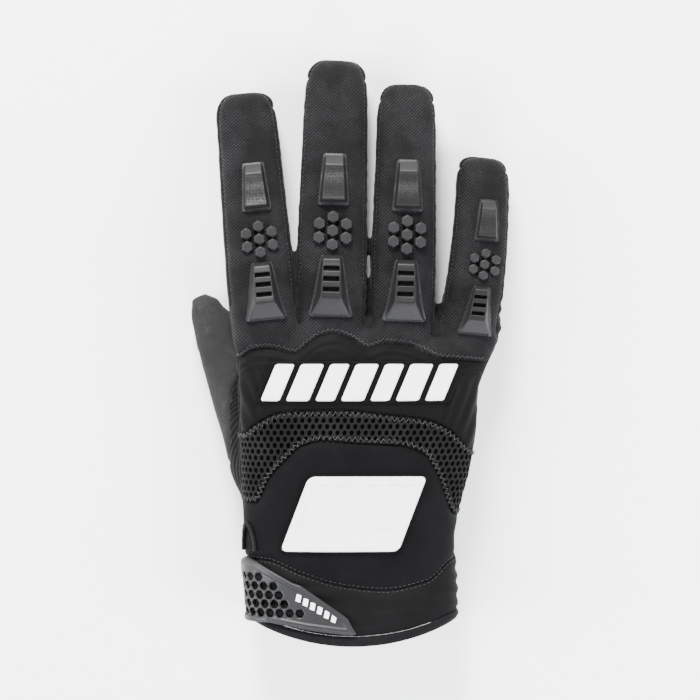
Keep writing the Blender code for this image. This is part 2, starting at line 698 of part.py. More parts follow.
def badge(name, plate_outline, relief_outlines, seat):
    """A thin plate with a raised design, which follows the back of the hand."""
    plate_sheet = hand_sheet("plate_sheet", SEAT_GAP, SEAT_GAP + BADGE_PLATE)
    relief_sheet = hand_sheet("relief_sheet", SEAT_GAP + BADGE_PLATE / 2, SEAT_GAP + BADGE_PLATE + BADGE_RELIEF)
    top_half = 0.6 * HAND_THICKNESS
    plate = prism(name, plate_outline, top_half, 0.10)
    applied(plate, "INTERSECT", plate_sheet)
    for i, outline in enumerate(relief_outlines):
        relief = prism(f"{name}_{i}", outline, top_half, 0.10)
        applied(relief, "INTERSECT", relief_sheet)
        union(plate, relief)
    applied(plate, "DIFFERENCE", seat)
    for sheet in (plate_sheet, relief_sheet):
        bpy.data.objects.remove(sheet)
    return finished(plate, "white_rubber")


def make_badges(seat):
    band, back = BAND_BADGE, BACK_BADGE
    middle = on_hand(band["side"], band["along"])
    width, height = band["width"] * HAND_WIDTH / 2, band["height"] * HAND_LENGTH
    pitch = width / band["bars"]
    margin = 0.0014
    plate = leaning_bar(middle, width + margin, height + 2 * margin, band["lean"])
    bars = []
    for i in range(band["bars"]):
        place = middle + Vector(((i + 0.5) * pitch - width / 2, 0, 0))
        bars.append(leaning_bar(place, pitch * (0.78 if i % 2 else 0.62), height, band["lean"]))
    badge("band_badge", plate, bars, seat)

    middle = on_hand(back["side"], back["along"])
    width, height = back["width"] * HAND_WIDTH / 2, back["height"] * HAND_LENGTH
    plate = leaning_bar(middle, width + 2 * margin, height + 2 * margin, back["lean"])
    raised = leaning_bar(middle, width, height, back["lean"])
    badge("back_badge", plate, [raised], seat)


def strap_holes():
    """The middles of the strap's holes: rows that follow its lower edge, shorter towards its point."""
    made = []
    for row, (count, first) in enumerate(((5, -0.80), (5, -0.852), (3, -0.80), (2, -0.852))):
        for i in range(count):
            made.append(on_hand(first, 0.098) + Vector((
                i * STRAP_HOLE_PITCH, row * STRAP_HOLE_PITCH * math.sqrt(3) / 2, 0
            )))
    return made


def make_strap():
    split = PALM_SPLIT_HEIGHT * HAND_THICKNESS
    sheet = hand_sheet("strap_sheet", SEAT_GAP, SEAT_GAP + STRAP_THICKNESS)
    back = prism("strap_back", [on_hand(*p) for p in STRAP_BACK], split - 0.0001, 0.10)
    palm = prism("strap_palm", [on_hand(*p) for p in STRAP_PALM], -0.05, split)
    strap = union(back, palm)
    strap.name = "wrist_strap"
    applied(strap, "INTERSECT", sheet)
    for middle in strap_holes():
        hole = prism("hole", hexagon(middle, STRAP_HOLE_ACROSS, math.pi / 6), split + 0.008, 0.10)
        applied(strap, "DIFFERENCE", hole)
        bpy.data.objects.remove(hole)
    bpy.data.objects.remove(sheet)
    return finished(strap, "rubber")


def make_loop_patch():
    """The woven patch on the palm side of the cuff, up to the strap's edge."""
    split = PALM_SPLIT_HEIGHT * HAND_THICKNESS
    sheet = hand_sheet("patch_sheet", SEAT_GAP, SEAT_GAP + PATCH_THICKNESS)
    patch = prism("loop_patch", [on_hand(*p) for p in LOOP_PATCH], -0.05, 0.5 * split)
    applied(patch, "INTERSECT", sheet)
    covered = prism("covered", grown_outline([on_hand(*p) for p in STRAP_PALM], SEAT_GAP), -0.06, split + 0.01)
    applied(patch, "DIFFERENCE", covered)
    for helper in (sheet, covered):
        bpy.data.objects.remove(helper)
    return finished(patch, "gusset")


def binding_cutter(name, slack):
    """The cuff's edge, which follows the curve of its mouth."""
    ring = hand_rings(0.01, 0)[0]
    return loft(name, [moved_along(ring, -0.03), moved_along(ring, BINDING_WIDTH + slack)])


def make_pull_loop(seat):
    """A bent tape that stands out from under the strap at the thumb's side."""
    radius = LOOP_TAPE / 2
    points = []
    steps = 14
    for i in range(steps + 1):
        turn = math.pi * i / steps
        along = 0.290 + 0.085 * math.sin(turn)
        angle = math.radians(mix(146, 168, (1 - math.cos(turn)) / 2))
        u, v = rounded(angle, HAND_ROUNDNESS)
        points.append(hand_place(hand_row_at(along), u, v, SEAT_GAP + radius))
    curve = bpy.data.curves.new("pull_loop", "CURVE")
    curve.dimensions = "3D"
    curve.bevel_depth = radius
    curve.bevel_resolution = 2
    curve.use_fill_caps = True
    line = curve.splines.new("POLY")
    line.points.add(len(points) - 1)
    for target, point in zip(line.points, points):
        target.co = (*point, 1)
    drawn = bpy.data.objects.new("pull_loop_curve", curve)
    WORK.objects.link(drawn)
    bpy.context.view_layer.update()
    mesh = bpy.data.meshes.new_from_object(drawn.evaluated_get(bpy.context.evaluated_depsgraph_get()))
    shape = bmesh.new()
    shape.from_mesh(mesh)
    bmesh.ops.remove_doubles(shape, verts=shape.verts, dist=0.00001)
    shape.to_mesh(mesh)
    shape.free()
    bpy.data.objects.remove(drawn)
    loop = mesh_object("pull_loop", mesh)
    applied(loop, "DIFFERENCE", seat)
    return finished(loop, "gusset")


def make_cloth():
    """The glove's panels: one hollow shell, cut along the seams."""
    half = SEAM_GAP / 2
    shell = skin("shell", 0)
    hollow = skin("hollow", -WALL, longer=0.02)
    applied(shell, "DIFFERENCE", hollow)
    bpy.data.objects.remove(hollow)

    cuff_in, cuff_out = cuff_cutter("cuff_in", -half), cuff_cutter("cuff_out", half)
    roof_in, roof_out = roof_cutter("roof_in", -half), roof_cutter("roof_out", half)
    rib_in, rib_out = rib_cutter("rib_in", -half), rib_cutter("rib_out", half)
    thumb_in, thumb_out = thumb_cutter("thumb_in", -half), thumb_cutter("thumb_out", half)
    back_in, back_out = thumb_back_cutter("thumb_back_in", -half), thumb_back_cutter("thumb_back_out", half)
    pairs = [("index", "middle"), ("middle", "ring"), ("ring", "little")]
    gussets_out = [gusset_cutter("gusset_out", *pair, half) for pair in pairs] + [outer_gusset_cutter("edge_out", half)]

    edge = binding_cutter("binding_out", half)
    piece("cuff", shell, [cuff_in], [edge], "neoprene")
    piece("cuff_binding", shell, [binding_cutter("binding_in", -half)], [], "gusset")
    for pair in pairs:
        cutter = gusset_cutter("gusset_in", *pair, -half)
        piece(f"{pair[0]}_{pair[1]}_gusset", shell, [cutter], [], "gusset")
        bpy.data.objects.remove(cutter)
    edge_in = outer_gusset_cutter("edge_in", -half)
    piece("little_edge_gusset", shell, [edge_in], [cuff_out, gussets_out[2]], "gusset")

    zones = [
        ("back_pad", CUFF_SEAM, MESH_LOWER_SEAM, [cuff_out], "knit"),
        ("air_mesh_panel", MESH_LOWER_SEAM, MESH_UPPER_SEAM, [], "knit"),
        ("knuckle_band", MESH_UPPER_SEAM, KNUCKLE_SEAM, gussets_out, "neoprene"),
        ("knit_back", KNUCKLE_SEAM, None, gussets_out, "knit"),
    ]
    for name, lower, upper, drops, finish in zones:
        zone = zone_cutter("zone", lower, upper, -half)
        piece(name, shell, [roof_in, zone], drops, finish)
        bpy.data.objects.remove(zone)

    piece("rib_panel", shell, [rib_in], [roof_out, cuff_out], "gusset")
    piece("thumb_panel", shell, [thumb_in], [roof_out, rib_out, back_out, cuff_out], "suede")
    piece("thumb_back", shell, [thumb_in, back_in], [roof_out, rib_out, cuff_out], "knit")
    piece("palm_panel", shell, [], [roof_out, cuff_out, thumb_out, rib_out, *gussets_out], "suede")


clear_scene()
GLOVE = new_collection("glove", hidden=False)
WORK = new_collection("working_shapes", hidden=True)
make_cloth()
SEAT = skin("seat", SEAT_GAP, longer=0.01)
make_finger_pieces(SEAT)
make_badges(SEAT)
make_strap()
make_loop_patch()
make_pull_loop(SEAT)
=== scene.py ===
"""A black riding glove, lying palm down: sewn panels over a hand's form, moulded guards, badges and a strap.

Metres, +X to the little finger, +Y to the fingertips, +Z up.
Along runs from the cuff's edge to the fingertips."""

import math

import bmesh
import bpy
import numpy as np
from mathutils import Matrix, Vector, kdtree, noise
from mathutils.bvhtree import BVHTree


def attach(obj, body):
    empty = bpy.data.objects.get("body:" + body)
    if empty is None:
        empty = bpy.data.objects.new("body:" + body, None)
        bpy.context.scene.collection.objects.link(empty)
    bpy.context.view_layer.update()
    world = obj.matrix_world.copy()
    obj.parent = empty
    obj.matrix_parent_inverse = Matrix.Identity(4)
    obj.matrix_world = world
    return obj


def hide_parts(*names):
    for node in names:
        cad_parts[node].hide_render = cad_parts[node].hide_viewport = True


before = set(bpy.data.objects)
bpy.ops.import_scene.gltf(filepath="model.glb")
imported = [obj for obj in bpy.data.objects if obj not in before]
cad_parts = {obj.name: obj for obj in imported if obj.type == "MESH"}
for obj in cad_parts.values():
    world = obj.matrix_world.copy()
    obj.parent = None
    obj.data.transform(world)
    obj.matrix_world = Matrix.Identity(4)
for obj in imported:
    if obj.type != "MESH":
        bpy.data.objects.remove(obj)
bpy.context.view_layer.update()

MM = 0.001

# The hand's form, as the CAD has it: shares of its length, half its width and its thickness
HAND_LENGTH, HALF_WIDTH, HAND_THICKNESS, HAND_ROUNDNESS = 0.130, 0.050, 0.038, 2.7
ORIGIN_ALONG = 0.066
HAND_COLUMNS = ("along", "left", "right", "low_left", "low_right", "top_left", "top_right",
                "bow", "skew", "fall", "seam")
HAND_SECTIONS = np.array([
    (-0.070, -0.850, 0.850, 0.03, 0.01, 0.97, 0.91, 0.080, 0, 0, 0.0),
    (0.000, -0.855, 0.852, 0.03, 0.01, 0.97, 0.91, 0.080, 0, 0, 0.0),
    (0.085, -0.868, 0.856, 0.01, -0.01, 0.95, 0.89, 0.056, 0, 0, 0.0),
    (0.200, -0.884, 0.840, 0.00, -0.02, 0.91, 0.86, 0.024, 0, 0, 0.0),
    (0.323, -0.890, 0.822, -0.01, -0.03, 0.89, 0.84, 0, 0, 0, 0.05),
    (0.430, -0.906, 0.872, -0.02, -0.04, 0.93, 0.84, 0, 0, 0, 0.10),
    (0.550, -0.916, 0.952, -0.02, -0.04, 0.98, 0.85, 0, 0, 0, 0.15),
    (0.690, -0.928, 1.012, 0.15, -0.04, 1.02, 0.84, 0, 0, 0, 0.20),
    (0.800, -0.938, 1.030, 0.34, -0.03, 1.03, 0.81, 0, 0, 0, 0.20),
    (0.900, -0.950, 1.130, 0.39, -0.01, 1.03, 0.76, 0, 0, 0, 0.20),
    (0.970, -0.956, 1.200, 0.39, 0.02, 1.01, 0.71, 0, 0.030, 0.02, 0.20),
    (1.030, -0.950, 1.220, 0.38, 0.04, 0.97, 0.66, 0, 0.062, 0.04, 0.20),
    (1.062, -0.900, 1.170, 0.42, 0.09, 0.90, 0.60, 0, 0.066, 0.05, 0.20),
])
# along, side, low, rise, top of each section of a finger and of the thumb
FINGER_SECTIONS = np.array([
    (-0.17, 0.76, 1.10, 0.14, 0.76), (-0.04, 1.00, 1.02, 0.00, 0.97), (0.14, 1.02, 0.86, 0.01, 1.00),
    (0.36, 1.00, 0.58, 0.02, 0.97), (0.60, 0.96, 0.24, 0.01, 0.91), (0.82, 0.93, 0.00, -0.04, 0.83),
    (0.91, 0.89, 0.00, -0.02, 0.78), (0.96, 0.80, 0.00, 0.06, 0.71), (0.99, 0.61, 0.00, 0.19, 0.61),
    (1.00, 0.44, 0.00, 0.29, 0.53),
])
THUMB_SECTIONS = np.array([
    (-0.14, 1.02, 0, 0.02, 1.60), (0.05, 1.04, 0, -0.03, 1.52), (0.25, 0.90, 0, -0.05, 1.22),
    (0.45, 0.75, 0, -0.05, 1.02), (0.65, 0.60, 0, -0.05, 0.92), (0.82, 0.45, 0, -0.02, 0.85),
    (0.93, 0.32, 0, 0.08, 0.77), (1.00, 0.14, 0, 0.26, 0.58),
])


class Digit:
    """A finger or the thumb: its root, its lean and its sizes."""

    def __init__(self, side, start, lean, bend, low, length, width, thickness,
                 sections=FINGER_SECTIONS, roundness=3.2):
        angle = math.radians(lean)
        self.root = np.array((side * HALF_WIDTH, start * HAND_LENGTH - ORIGIN_ALONG, 0))
        self.ahead = np.array((math.sin(angle), math.cos(angle), 0))
        self.across = np.array((math.cos(angle), -math.sin(angle), 0))
        self.bend, self.low = bend, low * HAND_THICKNESS
        self.length, self.width, self.thickness = length, width, thickness
        self.sections, self.roundness = sections, roundness

    def row(self, along):
        values = curve_through(self.sections[:, 0], self.sections[:, 1:], along)
        side, low, rise, top = np.moveaxis(values, -1, 0)
        half = side * self.width / 2
        underside = self.low * low
        bend = np.where(np.asarray(along) > 0, 4 * along * (1 - along) * self.bend * self.length, 0)
        return half, underside + rise * self.thickness, underside + top * self.thickness, bend

    def place(self, along, u, v):
        """Points at u across and v up, each from -1 to 1, of the sections at along."""
        along = np.asarray(along, float)
        half, low, top, bend = self.row(along)
        flat = self.root + np.multiply.outer(along * self.length, self.ahead)
        flat = flat + np.multiply.outer(bend + u * half, self.across)
        flat[..., 2] = low + (top - low) * (np.asarray(v) + 1) / 2
        return flat

    def coordinates(self, points):
        """Where points lie: the share along, u across and v up, and half the section's width and height."""
        offset = points - self.root
        along = offset @ self.ahead / self.length
        half, low, top, bend = self.row(along)
        u = (offset @ self.across - bend) / half
        v = 2 * (points[:, 2] - low) / (top - low) - 1
        return along, u, v, half, (top - low) / 2


def curve_through(xs, ys, at):
    """A smooth curve through the rows ys at xs, which never swings past them."""
    at = np.clip(np.asarray(at, float), xs[0], xs[-1])
    step = np.diff(xs)
    slope = np.diff(ys, axis=0) / step[:, None]
    inner = np.zeros_like(slope[1:])
    same = slope[:-1] * slope[1:] > 0
    inner[same] = 2 * slope[:-1][same] * slope[1:][same] / (slope[:-1][same] + slope[1:][same])
    tangent = np.vstack([slope[:1], inner, slope[-1:]])
    i = np.clip(np.searchsorted(xs, at, side="right") - 1, 0, len(xs) - 2)
    s = ((at - xs[i]) / step[i])[..., None]
    h = step[i][..., None]
    return (
        (1 + 2 * s) * (1 - s) ** 2 * ys[i] + s * (1 - s) ** 2 * h * tangent[i]
        + s * s * (3 - 2 * s) * ys[i + 1] + s * s * (s - 1) * h * tangent[i + 1]
    )


DIGITS = {
    "index": Digit(-0.722, 1.0, -5.5, 0.0, 0.345, 0.097, 0.0270, 0.0235),
    "middle": Digit(-0.197, 1.0, 1.55, 0.0, 0.245, 0.110, 0.0284, 0.0250),
    "ring": Digit(0.388, 1.0, 1.55, 0.004, 0.145, 0.1002, 0.0264, 0.0240),
    "little": Digit(0.950, 1.0, 5.2, 0.022, 0.055, 0.0700, 0.0236, 0.0215),
    "thumb": Digit(-0.570, 0.545, -26.8, 0.0, 0.0, 0.080, 0.040, 0.0150, THUMB_SECTIONS, 2.3),
}
FINGERS = ("index", "middle", "ring", "little")
CROTCHES = (("index", "middle"), ("middle", "ring"), ("ring", "little"))

# Seams from side to side: side as a share of half the width, and along
KNUCKLE_SEAM = np.array([(-1.30, 0.897), (-0.94, 0.897), (-0.82, 0.925), (-0.71, 0.930), (-0.61, 0.925),
                         (-0.48, 0.912), (-0.38, 0.940), (-0.27, 0.968), (-0.16, 0.976), (-0.02, 0.960),
                         (0.12, 0.929), (0.26, 0.945), (0.43, 0.940), (0.57, 0.920), (0.71, 0.897),
                         (0.86, 0.892), (1.30, 0.880)])
MESH_UPPER_SEAM = np.array([(-1.30, 0.666), (-0.89, 0.666), (-0.79, 0.692), (-0.61, 0.727), (-0.44, 0.735),
                            (-0.09, 0.736), (0.25, 0.723), (0.60, 0.705), (0.77, 0.675), (0.95, 0.614),
                            (1.30, 0.580)])
MESH_LOWER_SEAM = np.array([(-1.30, 0.440), (-0.80, 0.446), (-0.70, 0.519), (-0.56, 0.579), (-0.41, 0.627),
                            (-0.26, 0.640), (0.08, 0.632), (0.34, 0.627), (0.57, 0.600), (0.70, 0.527),
                            (0.83, 0.405), (1.30, 0.390)])
CUFF_SEAM = np.array([(-1.30, 0.275), (-0.71, 0.265), (-0.44, 0.226), (-0.09, 0.187), (0.25, 0.174),
                      (0.60, 0.200), (0.83, 0.265), (1.30, 0.275)])
PALM_CUFF_SEAM = np.array([(-1.30, 0.265), (0.0, 0.275), (0.60, 0.300), (1.30, 0.312)])
PALM_SPLIT = 0.45 * HAND_THICKNESS
GUSSET_LOW, GUSSET_TOP, GUSSET_END = -0.42, 0.58, 0.93
BINDING_WIDTH = 0.0042
# The web between two fingers: its ends along, and how its top falls beyond a place
WEB_ENDS, WEB_FALL, WEB_FALL_START = (0.93, 1.25), 0.35, 0.067

VOXEL = 0.86 * MM


# The hand's surface

def hand_row(along):
    values = curve_through(HAND_SECTIONS[:, 0], HAND_SECTIONS[:, 1:], along)
    return dict(zip(HAND_COLUMNS[1:], np.moveaxis(values, -1, 0)))


def rounded(angle, roundness):
    across, up = np.cos(angle), np.sin(angle)
    return np.sign(across) * np.abs(across) ** (2 / roundness), np.sign(up) * np.abs(up) ** (2 / roundness)


def hand_place(along, u, v):
    row = hand_row(along)
    share = (u + 1) / 2
    low = row["low_left"] + (row["low_right"] - row["low_left"]) * share
    top = row["top_left"] + (row["top_right"] - row["top_left"]) * share
    dip = np.where(u > 0, 4 * u * (1 - u), 0)
    shift = row["bow"] * u * u - row["skew"] * v - row["fall"] * dip
    x = (row["left"] + (row["right"] - row["left"]) * share) * HALF_WIDTH
    y = (along + shift) * HAND_LENGTH - ORIGIN_ALONG
    z = (low + (top - low) * (v + 1) / 2) * HAND_THICKNESS
    return np.stack(np.broadcast_arrays(x, y, z), -1)


def hand_coordinates(points):
    """Where points lie on the hand: along, u across, v up, with the sections' bow undone."""
    actual = (points[:, 1] + ORIGIN_ALONG) / HAND_LENGTH
    along = actual.copy()
    for _ in range(4):
        row = hand_row(along)
        u = 2 * (points[:, 0] / HALF_WIDTH - row["left"]) / (row["right"] - row["left"]) - 1
        along = actual - row["bow"] * np.clip(u, -1.1, 1.1) ** 2
    share = (u + 1) / 2
    low = (row["low_left"] + (row["low_right"] - row["low_left"]) * share) * HAND_THICKNESS
    top = (row["top_left"] + (row["top_right"] - row["top_left"]) * share) * HAND_THICKNESS
    v = 2 * (points[:, 2] - low) / (top - low) - 1
    return along, u, v, low, top


def arc_table(along=0.55, count=1441):
    """Distance round a section of the hand from the middle of the back, more to the little finger's side."""
    angle = np.linspace(1.5 * math.pi, -0.5 * math.pi, count)
    points = hand_place(np.full(count, along), *rounded(angle, HAND_ROUNDNESS))
    steps = np.hypot(*np.diff(points[:, [0, 2]], axis=0).T)
    distance = np.concatenate([[0], np.cumsum(steps)])
    middle = np.interp(0, -(angle - 0.5 * math.pi), distance)
    return angle, distance - middle


ARC_ANGLES, ARC_DISTANCES = arc_table()


def angle_at(u, v):
    """The angle of a section's ring that passes a place u across and v up."""
    across = np.sign(u) * np.abs(np.clip(u, -1, 1)) ** (HAND_ROUNDNESS / 2)
    up = np.sign(v) * np.abs(np.clip(v, -1, 1)) ** (HAND_ROUNDNESS / 2)
    angle = np.arctan2(up, across)
    return np.where(angle < -0.5 * math.pi, angle + 2 * math.pi, angle)


def arc_of(angle):
    return np.interp(-angle, -ARC_ANGLES, ARC_DISTANCES)


# The form: every loft in one mesh, joined by a remesh

def grid_faces(rows, count, first):
    faces = []
    for r in range(rows - 1):
        a, b = first + r * count, first + (r + 1) * count
        faces += [(a + i, a + (i + 1) % count, b + (i + 1) % count, b + i) for i in range(count)]
    return faces


def lofted(rings, first):
    """The points and faces of a closed loft through rings, an array of rows, points and coordinates."""
    rows, count = rings.shape[:2]
    points = rings.reshape(-1, 3)
    ends = np.array([rings[0].mean(axis=0), rings[-1].mean(axis=0)])
    near, far = first + len(points), first + len(points) + 1
    last = first + (rows - 1) * count
    faces = grid_faces(rows, count, first)
    faces += [((i + 1) % count + first, i + first, near) for i in range(count)]
    faces += [(last + i, last + (i + 1) % count, far) for i in range(count)]
    return np.vstack([points, ends]), faces


def form_mesh():
    parts, faces, first = [], [], 0
    angle = np.linspace(0, 2 * math.pi, 128, endpoint=False)
    along = np.linspace(-0.07, 1.062, 110)
    u, v = rounded(angle, HAND_ROUNDNESS)
    rings = [hand_place(along[:, None], u[None], v[None])]
    for digit in DIGITS.values():
        start = digit.sections[0, 0]
        along = start + (1 - start) * np.sin(np.linspace(0, math.pi / 2, 90))
        u, v = rounded(np.linspace(0, 2 * math.pi, 72, endpoint=False), digit.roundness)
        u, v, along = np.broadcast_arrays(u[None], v[None], along[:, None])
        rings.append(digit.place(along, u, v))
    for ring in rings:
        points, more = lofted(ring, first)
        parts.append(points)
        faces += more
        first += len(points)
    mesh = bpy.data.meshes.new("form")
    mesh.from_pydata(np.vstack(parts).tolist(), [], faces)
    shape = bmesh.new()
    shape.from_mesh(mesh)
    bmesh.ops.recalc_face_normals(shape, faces=shape.faces)
    shape.to_mesh(mesh)
    shape.free()
    drawn = bpy.data.objects.new("form", mesh)
    bpy.context.scene.collection.objects.link(drawn)
    step = drawn.modifiers.new("one_skin", "REMESH")
    step.mode, step.voxel_size = "VOXEL", VOXEL
    bpy.context.view_layer.update()
    skin = bpy.data.meshes.new_from_object(drawn.evaluated_get(bpy.context.evaluated_depsgraph_get()))
    bpy.data.objects.remove(drawn)
    return skin


def arrays_of(mesh):
    shape = bmesh.new()
    shape.from_mesh(mesh)
    bmesh.ops.triangulate(shape, faces=shape.faces)
    shape.to_mesh(mesh)
    shape.free()
    points = np.empty(len(mesh.vertices) * 3)
    mesh.vertices.foreach_get("co", points)
    corners = np.empty(len(mesh.polygons) * 3, int)
    mesh.polygons.foreach_get("vertices", corners)
    return points.reshape(-1, 3), corners.reshape(-1, 3)


def edges_of(faces):
    """The edges of triangles, in the direction that their faces run."""
    return np.vstack([faces[:, [0, 1]], faces[:, [1, 2]], faces[:, [2, 0]]])


def smoothed(points, faces, rounds):
    edges = np.unique(np.sort(edges_of(faces), axis=1), axis=0)
    count = np.bincount(edges.ravel(), minlength=len(points))[:, None]
    for _ in range(rounds):
        total = np.zeros_like(points)
        for axis in range(3):
            total[:, axis] += np.bincount(edges[:, 0], points[edges[:, 1], axis], len(points))
            total[:, axis] += np.bincount(edges[:, 1], points[edges[:, 0], axis], len(points))
        points = points * 0.5 + 0.5 * total / np.maximum(count, 1)
    return points


def normals_of(points, faces):
    a, b, c = points[faces[:, 0]], points[faces[:, 1]], points[faces[:, 2]]
    flat = np.cross(b - a, c - a)
    total = np.zeros_like(points)
    for corner in range(3):
        for axis in range(3):
            total[:, axis] += np.bincount(faces[:, corner], flat[:, axis], len(points))
    return total / np.maximum(np.linalg.norm(total, axis=1, keepdims=True), 1e-12)


def pressed(points):
    """The points with what would be under the ground pressed flat on it."""
    points = points.copy()
    z = points[:, 2]
    points[:, 2] = 0.5 * (z + np.sqrt(z * z + (0.5 * MM) ** 2))
    return points


def split(points, faces, values):
    """Triangles where values are above 0 and the rest, cut along the line where they are 0.
    Also gives the edges that the new points lie on, and how far along them."""
    positive = values[faces] > 0
    inside, outside = faces[positive.all(axis=1)], faces[~positive.any(axis=1)]
    mixed = faces[positive.any(axis=1) & ~positive.all(axis=1)]
    if not len(mixed):
        return points, inside, outside, np.zeros((0, 2), int), np.zeros((0, 1))
    signs = values[mixed] > 0
    lone = np.where(signs.sum(axis=1) == 1, signs.argmax(axis=1), (~signs).argmax(axis=1))
    rows = np.arange(len(mixed))
    a, b, c = mixed[rows, lone], mixed[rows, (lone + 1) % 3], mixed[rows, (lone + 2) % 3]
    pairs = np.sort(np.vstack([np.stack([a, b], 1), np.stack([a, c], 1)]), axis=1)
    edges, back = np.unique(pairs, axis=0, return_inverse=True)
    back = back.ravel() + len(points)
    share = values[edges[:, 0]] / (values[edges[:, 0]] - values[edges[:, 1]])
    share = np.clip(share, 0.02, 0.98)[:, None]
    points = np.vstack([points, points[edges[:, 0]] * (1 - share) + points[edges[:, 1]] * share])
    ab, ac = back[: len(mixed)], back[len(mixed):]
    tips = np.stack([a, ab, ac], 1)
    rest = np.vstack([np.stack([ab, b, c], 1), np.stack([ab, c, ac], 1)])
    tip_in = signs[rows, lone]
    rest_in = np.concatenate([~tip_in, ~tip_in])
    inside = np.vstack([inside, tips[tip_in], rest[rest_in]])
    outside = np.vstack([outside, tips[~tip_in], rest[~rest_in]])
    return points, inside, outside, edges, share


class Skin:
    """The form's triangles, cut piece by piece along seams."""

    def __init__(self):
        points, faces = arrays_of(form_mesh())
        points = pressed(smoothed(points, faces, 8))
        self.points, self.normals, self.left = points, normals_of(points, faces), faces

    def cut(self, field):
        """Takes the triangles where field is above 0 off what is left, split along the line where it is 0."""
        values = field(self.points)
        self.points, inside, self.left, edges, share = split(self.points, self.left, values)
        if len(edges):
            more = self.normals[edges[:, 0]] * (1 - share) + self.normals[edges[:, 1]] * share
            self.normals = np.vstack([self.normals, more / np.linalg.norm(more, axis=1, keepdims=True)])
        return inside


# Fields: metres inside a zone, negative outside it

def seam_field(seam):
    smooth = np.linspace(seam[0, 0], seam[-1, 0], 400)
    height = curve_through(seam[:, 0], seam[:, 1:], smooth)[:, 0]
    return lambda p: p[:, 1] + ORIGIN_ALONG - np.interp(p[:, 0] / HALF_WIDTH, smooth, height) * HAND_LENGTH


above_knuckles, above_mesh = seam_field(KNUCKLE_SEAM), seam_field(MESH_UPPER_SEAM)
above_pad, above_cuff, above_palm_cuff = map(seam_field, (MESH_LOWER_SEAM, CUFF_SEAM, PALM_CUFF_SEAM))


def step_between(values, low, high):
    share = np.clip((values - low) / (high - low), 0, 1)
    return share * share * (3 - 2 * share)


def beyond_cuff(p):
    share = step_between(p[:, 2], PALM_SPLIT - 4 * MM, PALM_SPLIT + 4 * MM)
    return above_palm_cuff(p) * (1 - share) + above_cuff(p) * share


def past_mouth(p):
    return hand_coordinates(p)[0] * HAND_LENGTH


def roof(p):
    """Metres above the side seams of the hand and the fingers."""
    along, u, v, low, top = hand_coordinates(p)
    seam = low + (top - low) * (hand_row(along)["seam"] + 1) / 2
    field = np.minimum(p[:, 2] - seam, (1.062 - along) * HAND_LENGTH)
    for key in FINGERS:
        digit = DIGITS[key]
        along, u, v, half, tall = digit.coordinates(p)
        inside = np.minimum((1.04 - np.abs(u)) * half, (along + 0.17) * digit.length)
        field = np.maximum(field, np.minimum((v - GUSSET_TOP) * tall, inside))
    return field


def side_wall(key, right):
    digit = DIGITS[key]

    def field(p):
        along, u, v, half, tall = digit.coordinates(p)
        across = (u if right else -u) - 0.35
        ends = np.minimum(along + 0.04, GUSSET_END - along) * digit.length
        heights = np.minimum(v - GUSSET_LOW, GUSSET_TOP - v) * tall
        return np.minimum(np.minimum(across * half, (1.2 - np.abs(u)) * half), np.minimum(ends, heights))
    return field


def gusset(key, following):
    left, right = side_wall(key, True), side_wall(following, False)
    near, far = DIGITS[key], DIGITS[following]
    a, b = near.place([0.0], 0.55, GUSSET_LOW)[0], far.place([0.0], -0.55, GUSSET_LOW)[0]
    top = min(near.place([0.0], 0.55, 0.62)[0][2], far.place([0.0], -0.55, 0.62)[0][2])
    low = max(a[2], b[2])
    y0, y1 = (along * HAND_LENGTH - ORIGIN_ALONG for along in WEB_ENDS)

    def field(p):
        web = np.minimum(np.minimum(p[:, 0] - a[0], b[0] - p[:, 0]), np.minimum(p[:, 1] - y0, y1 - p[:, 1]))
        fall = WEB_FALL * np.maximum(p[:, 1] - WEB_FALL_START, 0)
        web = np.minimum(web, np.minimum(p[:, 2] - low, top - fall - p[:, 2]))
        return np.maximum(np.maximum(left(p), right(p)), web)
    return field


def little_edge(p):
    """The little finger's outer side, which tapers out along the edge of the hand."""
    along, u, v, low, top = hand_coordinates(p)
    seam = hand_row(along)["seam"]
    bottom = 0.12 - 0.52 * step_between(along, 0.70, 0.95)
    half = (top - low) / 2
    ends = np.minimum(1.03 - along, along - 0.70) * HAND_LENGTH
    heights = np.minimum(seam - v, v - bottom) * half
    hand = np.minimum(np.minimum((u - 0.70) * HALF_WIDTH, ends), heights)
    return np.maximum(side_wall("little", True)(p), hand)


def thumb_zone(p):
    digit = DIGITS["thumb"]
    along, u, v, half, tall = digit.coordinates(p)
    return np.minimum(np.minimum((along - 0.10) * digit.length, (1.06 - u) * half), (1.12 - v) * tall)


def thumb_outer(p):
    digit = DIGITS["thumb"]
    along, u, v, half, tall = digit.coordinates(p)
    ends = np.minimum(along - 0.10, 0.965 - along) * digit.length
    return np.minimum(np.minimum((0.05 - u) * half, (0.10 - v) * tall), ends)


def inside_outline(points, outline):
    """Metres inside a closed flat outline, negative outside it."""
    least = np.full(len(points), 1.0)
    within = np.zeros(len(points), bool)
    for a, b in zip(outline, np.roll(outline, -1, axis=0)):
        step = b - a
        share = np.clip((points - a) @ step / (step @ step), 0, 1)
        least = np.minimum(least, np.hypot(*(points - a - share[:, None] * step).T))
        crosses = (a[1] > points[:, 1]) != (b[1] > points[:, 1])
        if a[1] != b[1]:
            within ^= crosses & (points[:, 0] < a[0] + (points[:, 1] - a[1]) / (b[1] - a[1]) * (b[0] - a[0]))
    return np.where(within, least, -least)


# The outline of the ribbed panel: side and along
RIB_PANEL = np.array([(-1.03, 0.28), (-1.03, 0.72), (-1.00, 0.80), (-0.93, 0.845), (-0.72, 0.845),
                      (-0.72, 0.28)])


def rib_zone(p):
    """The panel between the thumb and the back, with a round top."""
    outline = np.stack([RIB_PANEL[:, 0] * HALF_WIDTH, RIB_PANEL[:, 1] * HAND_LENGTH - ORIGIN_ALONG], 1)
    return np.minimum(inside_outline(p[:, :2], outline), p[:, 2] - 8 * MM)


